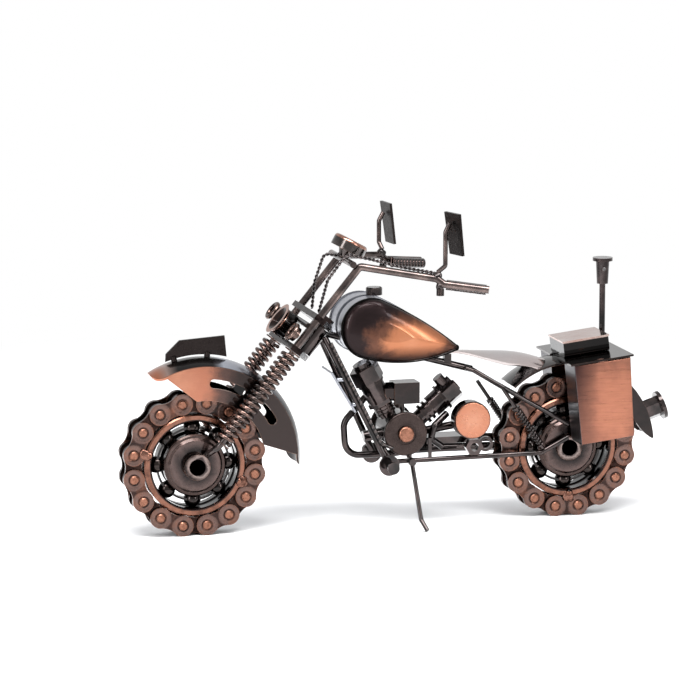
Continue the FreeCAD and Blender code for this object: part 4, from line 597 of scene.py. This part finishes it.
TANK = rubbed_sheet(
    "tank_copper", along("tank_shells", (0.60, 0.5, 0.36)), (25.5 * MM, 60.0 * MM, 13.5 * MM),
    [
        (0.0, (0.84, 0.44, 0.28)), (0.45, (0.76, 0.37, 0.22)),
        (0.72, (0.30, 0.16, 0.115)), (0.92, (0.085, 0.06, 0.06)),
    ],
    over=tank_bands, streaks=0.05, rough=0.34, blotch=0.3, coat=0.12,
    edge=(0.05, 0.035, 0.03), edge_amount=0.5,
)
FENDER = rubbed_sheet(
    "fender_copper", along("front_fender", (0.19, 0.5, 0.84)), (24.0 * MM, 50.0 * MM, 30.0 * MM),
    [
        (0.0, (0.84, 0.46, 0.32)), (0.4, (0.70, 0.34, 0.23)),
        (0.75, (0.22, 0.14, 0.12)), (1.0, (0.10, 0.072, 0.066)),
    ],
    over=fender_bands, streaks=0.06, rough=0.2, blotch=0.2,
    edge=(0.92, 0.62, 0.48),
)
BOX = rubbed_sheet(
    "box_copper", along("side_boxes", (0.66, 0.5, 0.45)), (17.0 * MM, 40.0 * MM, 28.0 * MM),
    [(0.0, (0.80, 0.43, 0.30)), (0.55, (0.72, 0.36, 0.25)), (1.0, (0.46, 0.24, 0.18))],
    over=box_bands, brush=(120, 2600, 2600), streaks=0.14, rough=0.3, blotch=0.25, coat=0.1,
)
CLEANER = rubbed_sheet(
    "cleaner_copper", middle("air_cleaner_cover"), (7.8 * MM, 20.0 * MM, 7.8 * MM),
    [(0.0, (0.84, 0.46, 0.32)), (0.8, (0.78, 0.39, 0.26)), (1.0, (0.55, 0.28, 0.2))],
    brush=(300, 300, 300), streaks=0.06, rough=0.26, blotch=0.2,
    edge=(0.05, 0.03, 0.03),
)
# Painted reflection: the seat's near-white middle stands for the white room it reflects, going to copper
# towards its edges
SEAT = rubbed_sheet(
    "seat_copper_and_reflection", middle("seat_plate"), (30.0 * MM, 20.0 * MM, 20.0 * MM),
    [(0.0, (1.0, 0.93, 0.91)), (0.8, (0.98, 0.84, 0.80)), (1.0, (0.86, 0.56, 0.46))],
    brush=(80, 2600, 2600), streaks=0.05, rough=0.16, blotch=0.1,
    edge=(0.08, 0.04, 0.035), edge_amount=0.6,
)


def trunk_metal():
    """Black trunk with a pale copper lid."""
    n = Nodes("trunk_metal")
    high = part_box("top_box")[1]
    tilt = math.tan(math.radians(TOP_BOX_PITCH))
    slope = n.math("MULTIPLY", n.math("SUBTRACT", n.axis(0), high[0]), tilt)
    level = n.math("SUBTRACT", n.math("SUBTRACT", n.axis(2), high[2]), slope)
    body = n.ramp(n.noise(60, 4.0, 0.6), [(0.3, (0.014, 0.011, 0.011)), (0.7, (0.05, 0.037, 0.034))])
    lid = n.ramp(n.noise(90, 4.0, 0.6), [(0.3, (0.80, 0.52, 0.44)), (0.7, (0.98, 0.80, 0.73))])
    colour = n.mix(n.step(level, -0.95 * MM, -0.7 * MM), body, lid)
    roughness = n.ramp(n.noise(500, 3.0, 0.6), [(0.25, 0.1), (0.8, 0.22)])
    n.bump(n.noise(300, 3.0, 0.6), 0.06, 0.1 * MM)
    return n.finish(colour, roughness, 1.0, coat=0.5, coat_roughness=0.05)


# Nodes that aren't named here are black rod
CAD_MATERIALS = {
    "fork_rods": BRIGHT_ROD, "fork_springs": SPRING_DARK, "fork_clamps": CLAMP_DARK,
    "handlebars": BRIGHT_ROD, "grips": GRIP, "mirror_stems": BRIGHT_ROD, "mirror_plates": PLATE_BROWN,
    "headlamp": HEADLAMP, "turn_signals": SIGNAL_COPPER, "speedometer": SPEEDO,
    "front_fender": FENDER, "front_plate": PLATE_BROWN, "front_guard": REFLECTION_SHEET,
    "tank_shells": TANK, "tank_cap": DARK_BOLT, "seat_plate": SEAT,
    "rear_fender": DARK_SHEET, "tail_lamp": DARK_BOLT, "shock_springs": DARK_BOLT,
    "luggage_platform": DARK_SHEET, "side_boxes": BOX, "top_box": trunk_metal(), "antenna": DARK_BOLT,
    "crank_cover": CRANK_PLATE, "crank_cap": PIN_COPPER, "crank_cable": TWISTED_ROD,
    "cylinders": DARK_BOLT, "carburettor": DARK_SHEET, "foot_pegs": DARK_BOLT,
    "air_cleaner": DARK_SHEET, "air_cleaner_cover": CLEANER,
}
for side in AXLES:
    CAD_MATERIALS.update({
        side + "_outer_link_plates": CHAINS[side], side + "_inner_link_plates": CHAIN_INNER,
        side + "_chain_pins": PIN_COPPER, side + "_chain_rollers": DARK_BOLT,
        side + "_bearing_outer_ring": RINGS[side], side + "_hub_rings": HUBS[side],
        side + "_bearing_balls": BALL_DARK, side + "_ball_cage": CAGE_DARK, side + "_axle_tube": HUBS[side],
    })


def paint(obj, material):
    obj.data.materials.clear()
    obj.data.materials.append(material)


for node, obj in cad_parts.items():
    paint(obj, CAD_MATERIALS.get(node, BLACK_ROD))


# ---------------------------------------------------------------- pieces the CAD model leaves plain
def new_piece(name, build, body, material):
    """Makes a smooth object of what was built, which moves with a body."""
    mesh = bpy.data.meshes.new(name)
    for face in build.faces:
        face.smooth = True
    build.to_mesh(mesh)
    build.free()
    obj = bpy.data.objects.new(name, mesh)
    bpy.context.scene.collection.objects.link(obj)
    paint(obj, material)
    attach(obj, body)
    return obj


def weld_bead(name, centre, radii, body, seed, material):
    """A lump of weld metal with ripples and small bulges. The radii are in millimetres."""
    most_swell = 1.15
    rng = random.Random(seed)
    waves = []
    for _ in range(7):
        wave = Vector([rng.uniform(-1, 1) for _ in range(3)]).normalized() * rng.uniform(2.0, 5.5)
        waves.append((wave, rng.uniform(0, 6.28), rng.uniform(0.03, 0.10)))
    build = bmesh.new()
    bmesh.ops.create_icosphere(build, subdivisions=3, radius=1.0)
    for vert in build.verts:
        direction = vert.co.normalized()
        swell = 1.0 + sum(size * math.sin(direction.dot(wave) + phase) for wave, phase, size in waves)
        reach = MM * min(swell, most_swell)
        vert.co = Vector([centre[i] + direction[i] * radii[i] * reach for i in range(3)])
    return new_piece(name, build, body, material)


def smooth_path(points, bend, step):
    """Points along straight runs with rounded corners, evenly close."""
    line = [points[0]]
    for before, corner, after in zip(points, points[1:], points[2:]):
        inward = (corner - before).normalized()
        outward = (after - corner).normalized()
        turn = inward.angle(outward)
        setback = bend * math.tan(turn / 2.0)
        start, end = corner - inward * setback, corner + outward * setback
        steps = 8
        for i in range(steps + 1):
            s = i / steps
            line.append(start * (1 - s) ** 2 + corner * 2 * s * (1 - s) + end * s ** 2)
    line.append(points[-1])
    even = [line[0]]
    carry = 0.0
    for a, b in zip(line, line[1:]):
        length = (b - a).length
        place = step - carry
        while place <= length:
            even.append(a + (b - a) * (place / length))
            place += step
        carry = length - (place - step)
    return even


def strand(build, path, phase, strand_r, offset, lay):
    """One strand of wire, which winds round the path once in every lay."""
    sides = 7
    previous = None
    normal = None
    travelled = 0.0
    for index, point in enumerate(path):
        ahead = (path[min(index + 1, len(path) - 1)] - path[max(index - 1, 0)]).normalized()
        if normal is None:
            normal = ahead.orthogonal().normalized()
        normal = (normal - ahead * normal.dot(ahead)).normalized()
        across = ahead.cross(normal)
        if index:
            travelled += (point - path[index - 1]).length
        angle = phase + 2.0 * math.pi * travelled / lay
        core = point + (normal * math.cos(angle) + across * math.sin(angle)) * offset
        ring = []
        for k in range(sides):
            around = 2.0 * math.pi * k / sides
            outward = normal * math.cos(around) + across * math.sin(around)
            ring.append(build.verts.new(core + outward * strand_r))
        if previous:
            for k in range(sides):
                after = (k + 1) % sides
                build.faces.new((previous[k], previous[after], ring[after], ring[k]))
        else:
            build.faces.new(list(reversed(ring)))
        previous = ring
    build.faces.new(previous)


def handlebar_wires():
    """Twisted pairs from the left hand and the speedometer down to the steering clamp."""
    bend = 2.6 * MM
    strand_r = 0.36 * MM
    offset = 0.34 * MM
    lay = 3.4 * MM
    bar_top = FORK_TUBE_R + WIRE_LIFT
    clamp_top_s = HEAD_HIGH_S + RUN_GAP + CLAMP_T + WIRE_LIFT
    bar_route = [
        left_hand - to_hand * 0.03 + Vector((0, 0.3, FORK_TUBE_R + 0.6)) * MM,
        left_hand - to_hand * 0.45 + Vector((0, 0.4, bar_top)) * MM,
        left_bend + Vector((4.6, 1.0, bar_top + 0.3)) * MM,
        fork(100.0, -5.8, -10.5), fork(88.0, -4.6, -8.0), fork(clamp_top_s + 0.2, 1.2, -6.0),
    ]
    speedo_route = [
        crossbar_mid + SPEEDO_UP * SPEEDO_STALK_HEIGHT * MM + Vector((-3.4, -1.5, -1.6)) * MM,
        fork(95.5, -10.5, -1.5), fork(84.4, -5.9, 0.0), fork(clamp_top_s, 0.2, 1.0),
    ]
    build = bmesh.new()
    for route in (bar_route, speedo_route):
        path = smooth_path(route, bend, 0.22 * MM)
        for phase in (0.0, math.pi):
            strand(build, path, phase, strand_r, offset, lay)
    wires = new_piece("twisted_bar_wires", build, "steering", WIRE)
    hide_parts("handlebar_cables")


handlebar_wires()

# Weld metal where the rods, the ring and the box were joined
for side, hand, out, seed in (("left", left_hand, -1.0, 3), ("right", right_hand, 1.0, 8)):
    hand_weld = hand + Vector((0.4, out * -0.3, 0.9)) * MM
    knob_weld = hand + Vector((1.2, out * 0.6, -3.0)) * MM
    weld_bead(side + "_hand_weld", hand_weld, (1.9, 1.8, 2.0), "steering", seed, BLACK_ROD)
    weld_bead(side + "_knob_weld", knob_weld, (1.5, 1.5, 1.8), "steering", seed + 1, BLACK_ROD)
speedo_weld = fork(CROSSBAR_S, -2.9) + SPEEDO_UP * 1.6 * MM
weld_bead("speedo_weld", speedo_weld, (2.6, 2.0, 1.6), "steering", 12, BLACK_ROD)
ring_r = PIN_CIRCLE - (PLATE_END_R + RING_SEAT) * MM
for side, degrees in (("front", (165.0, -22.0)), ("rear", (-88.0, 40.0))):
    for index, degree in enumerate(degrees):
        angle = math.radians(degree)
        place = AXLES[side] + Vector((math.cos(angle) * ring_r, -6.0 * MM, math.sin(angle) * ring_r))
        weld_bead(
            f"{side}_ring_weld_{index}", place, (2.3, 0.95, 2.3), side + "_wheel", 20 + index,
            WELD_COPPER,
        )
box_low, box_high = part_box("side_boxes")
box_weld_x = box_low[0] + 0.47 * (box_high[0] - box_low[0])
box_weld = (box_weld_x, box_low[1] + 1.4 * MM, box_high[2] - 1.2 * MM)
weld_bead("box_weld", box_weld, (2.6, 1.2, 0.9), "frame", 31, WELD_COPPER)

# ---------------------------------------------------------------- camera
AZIMUTH = math.radians(-14.5)
ELEVATION = math.radians(9.5)
CAMERA_DISTANCE = 1.5
PICTURE_SIZE = 679           # pixels
PIXELS_PER_RADIAN = 3840.0
level_share = math.cos(ELEVATION)
forward = Vector((-math.sin(AZIMUTH) * level_share, math.cos(AZIMUTH) * level_share, -math.sin(ELEVATION)))
right = forward.cross(Vector((0, 0, 1))).normalized()
up = right.cross(forward)
target = Vector((-23.94, 0.0, 74.1)) * MM
camera_data = bpy.data.cameras.new("camera")
camera_data.sensor_width = 36.0
camera_data.lens = PIXELS_PER_RADIAN * camera_data.sensor_width / PICTURE_SIZE
camera_data.clip_end = 20.0
camera = bpy.data.objects.new("camera", camera_data)
bpy.context.scene.collection.objects.link(camera)
position = target - forward * CAMERA_DISTANCE
camera.matrix_world = Matrix((
    (right.x, up.x, -forward.x, position.x),
    (right.y, up.y, -forward.y, position.y),
    (right.z, up.z, -forward.z, position.z),
    (0, 0, 0, 1),
))
bpy.context.scene.camera = camera


# ---------------------------------------------------------------- studio
def area_light(name, location, aim, size, power):
    data = bpy.data.lights.new(name, "AREA")
    data.shape = "RECTANGLE"
    data.size, data.size_y = size
    data.energy = power
    light = bpy.data.objects.new(name, data)
    bpy.context.scene.collection.objects.link(light)
    light.location = location
    light.rotation_euler = (Vector(aim) - Vector(location)).to_track_quat("-Z", "Y").to_euler()


def larger(tree, first, second):
    """The larger of two values in the world's node tree."""
    node = tree.nodes.new("ShaderNodeMath")
    node.operation = "MAXIMUM"
    tree.links.new(first, node.inputs[0])
    tree.links.new(second, node.inputs[1])
    return node.outputs[0]


def studio_world():
    """White to the camera, in metal and through glass. As light it is dim on the camera's side."""
    world = bpy.data.worlds.new("studio")
    world.use_nodes = True
    tree = world.node_tree
    tree.nodes.clear()
    soft = tree.nodes.new("ShaderNodeBackground")
    soft.inputs["Color"].default_value = (0.95, 0.97, 1.0, 1)
    sky = tree.nodes.new("ShaderNodeTexCoord")
    split = tree.nodes.new("ShaderNodeSeparateXYZ")
    tree.links.new(sky.outputs["Generated"], split.inputs[0])
    room = tree.nodes.new("ShaderNodeMapRange")
    for socket, value in (("From Min", -0.55), ("From Max", -0.05), ("To Min", 0.10), ("To Max", 1.0)):
        room.inputs[socket].default_value = value
    tree.links.new(split.outputs[1], room.inputs["Value"])
    tree.links.new(room.outputs["Result"], soft.inputs["Strength"])
    white = tree.nodes.new("ShaderNodeBackground")
    white.inputs["Strength"].default_value = 1.0
    rays = tree.nodes.new("ShaderNodeLightPath").outputs
    seen = larger(tree, rays["Is Camera Ray"], rays["Is Transmission Ray"])
    blend = tree.nodes.new("ShaderNodeMixShader")
    tree.links.new(larger(tree, seen, rays["Is Glossy Ray"]), blend.inputs[0])
    tree.links.new(soft.outputs[0], blend.inputs[1])
    tree.links.new(white.outputs[0], blend.inputs[2])
    out = tree.nodes.new("ShaderNodeOutputWorld")
    tree.links.new(blend.outputs[0], out.inputs[0])
    return world


def studio_floor():
    """A pale floor that takes the object's shadow and fades to white further out."""
    build = bmesh.new()
    bmesh.ops.create_grid(build, x_segments=1, y_segments=1, size=3.0)
    mesh = bpy.data.meshes.new("floor")
    build.to_mesh(mesh)
    build.free()
    floor = bpy.data.objects.new("floor", mesh)
    bpy.context.scene.collection.objects.link(floor)
    n = Nodes("floor_paint")
    grain = n.ramp(n.noise(30, 3.0, 0.5), [(0.3, (0.90, 0.90, 0.90)), (0.7, (0.93, 0.93, 0.93))])
    fade = n.ramp(n.distance_from((0.0, 0.0, 0.0), (1.0, 1.0, 1.0)), [(0.26, 0.0), (0.46, 1.0)], "EASE")
    n.finish(n.mix(fade, grain, (0.0, 0.0, 0.0)), 0.6, 0.0)
    n.shader.inputs["Specular IOR Level"].default_value = 0.0
    n.shader.inputs["Emission Color"].default_value = (1.0, 1.0, 1.0, 1.0)
    n.link(fade, n.shader.inputs["Emission Strength"])
    paint(floor, n.material)


area_light("softbox_top", (-0.05, -0.35, 0.85), (0, 0, 0.05), (0.9, 0.34), 15.0)
area_light("strip_left", (-0.85, -0.60, 0.30), (0, 0, 0.06), (0.20, 0.7), 6.0)
area_light("strip_right", (0.60, -0.95, 0.45), (0, 0, 0.05), (0.18, 0.6), 5.0)
bpy.context.scene.view_settings.view_transform = "Standard"
bpy.context.scene.world = studio_world()
studio_floor()
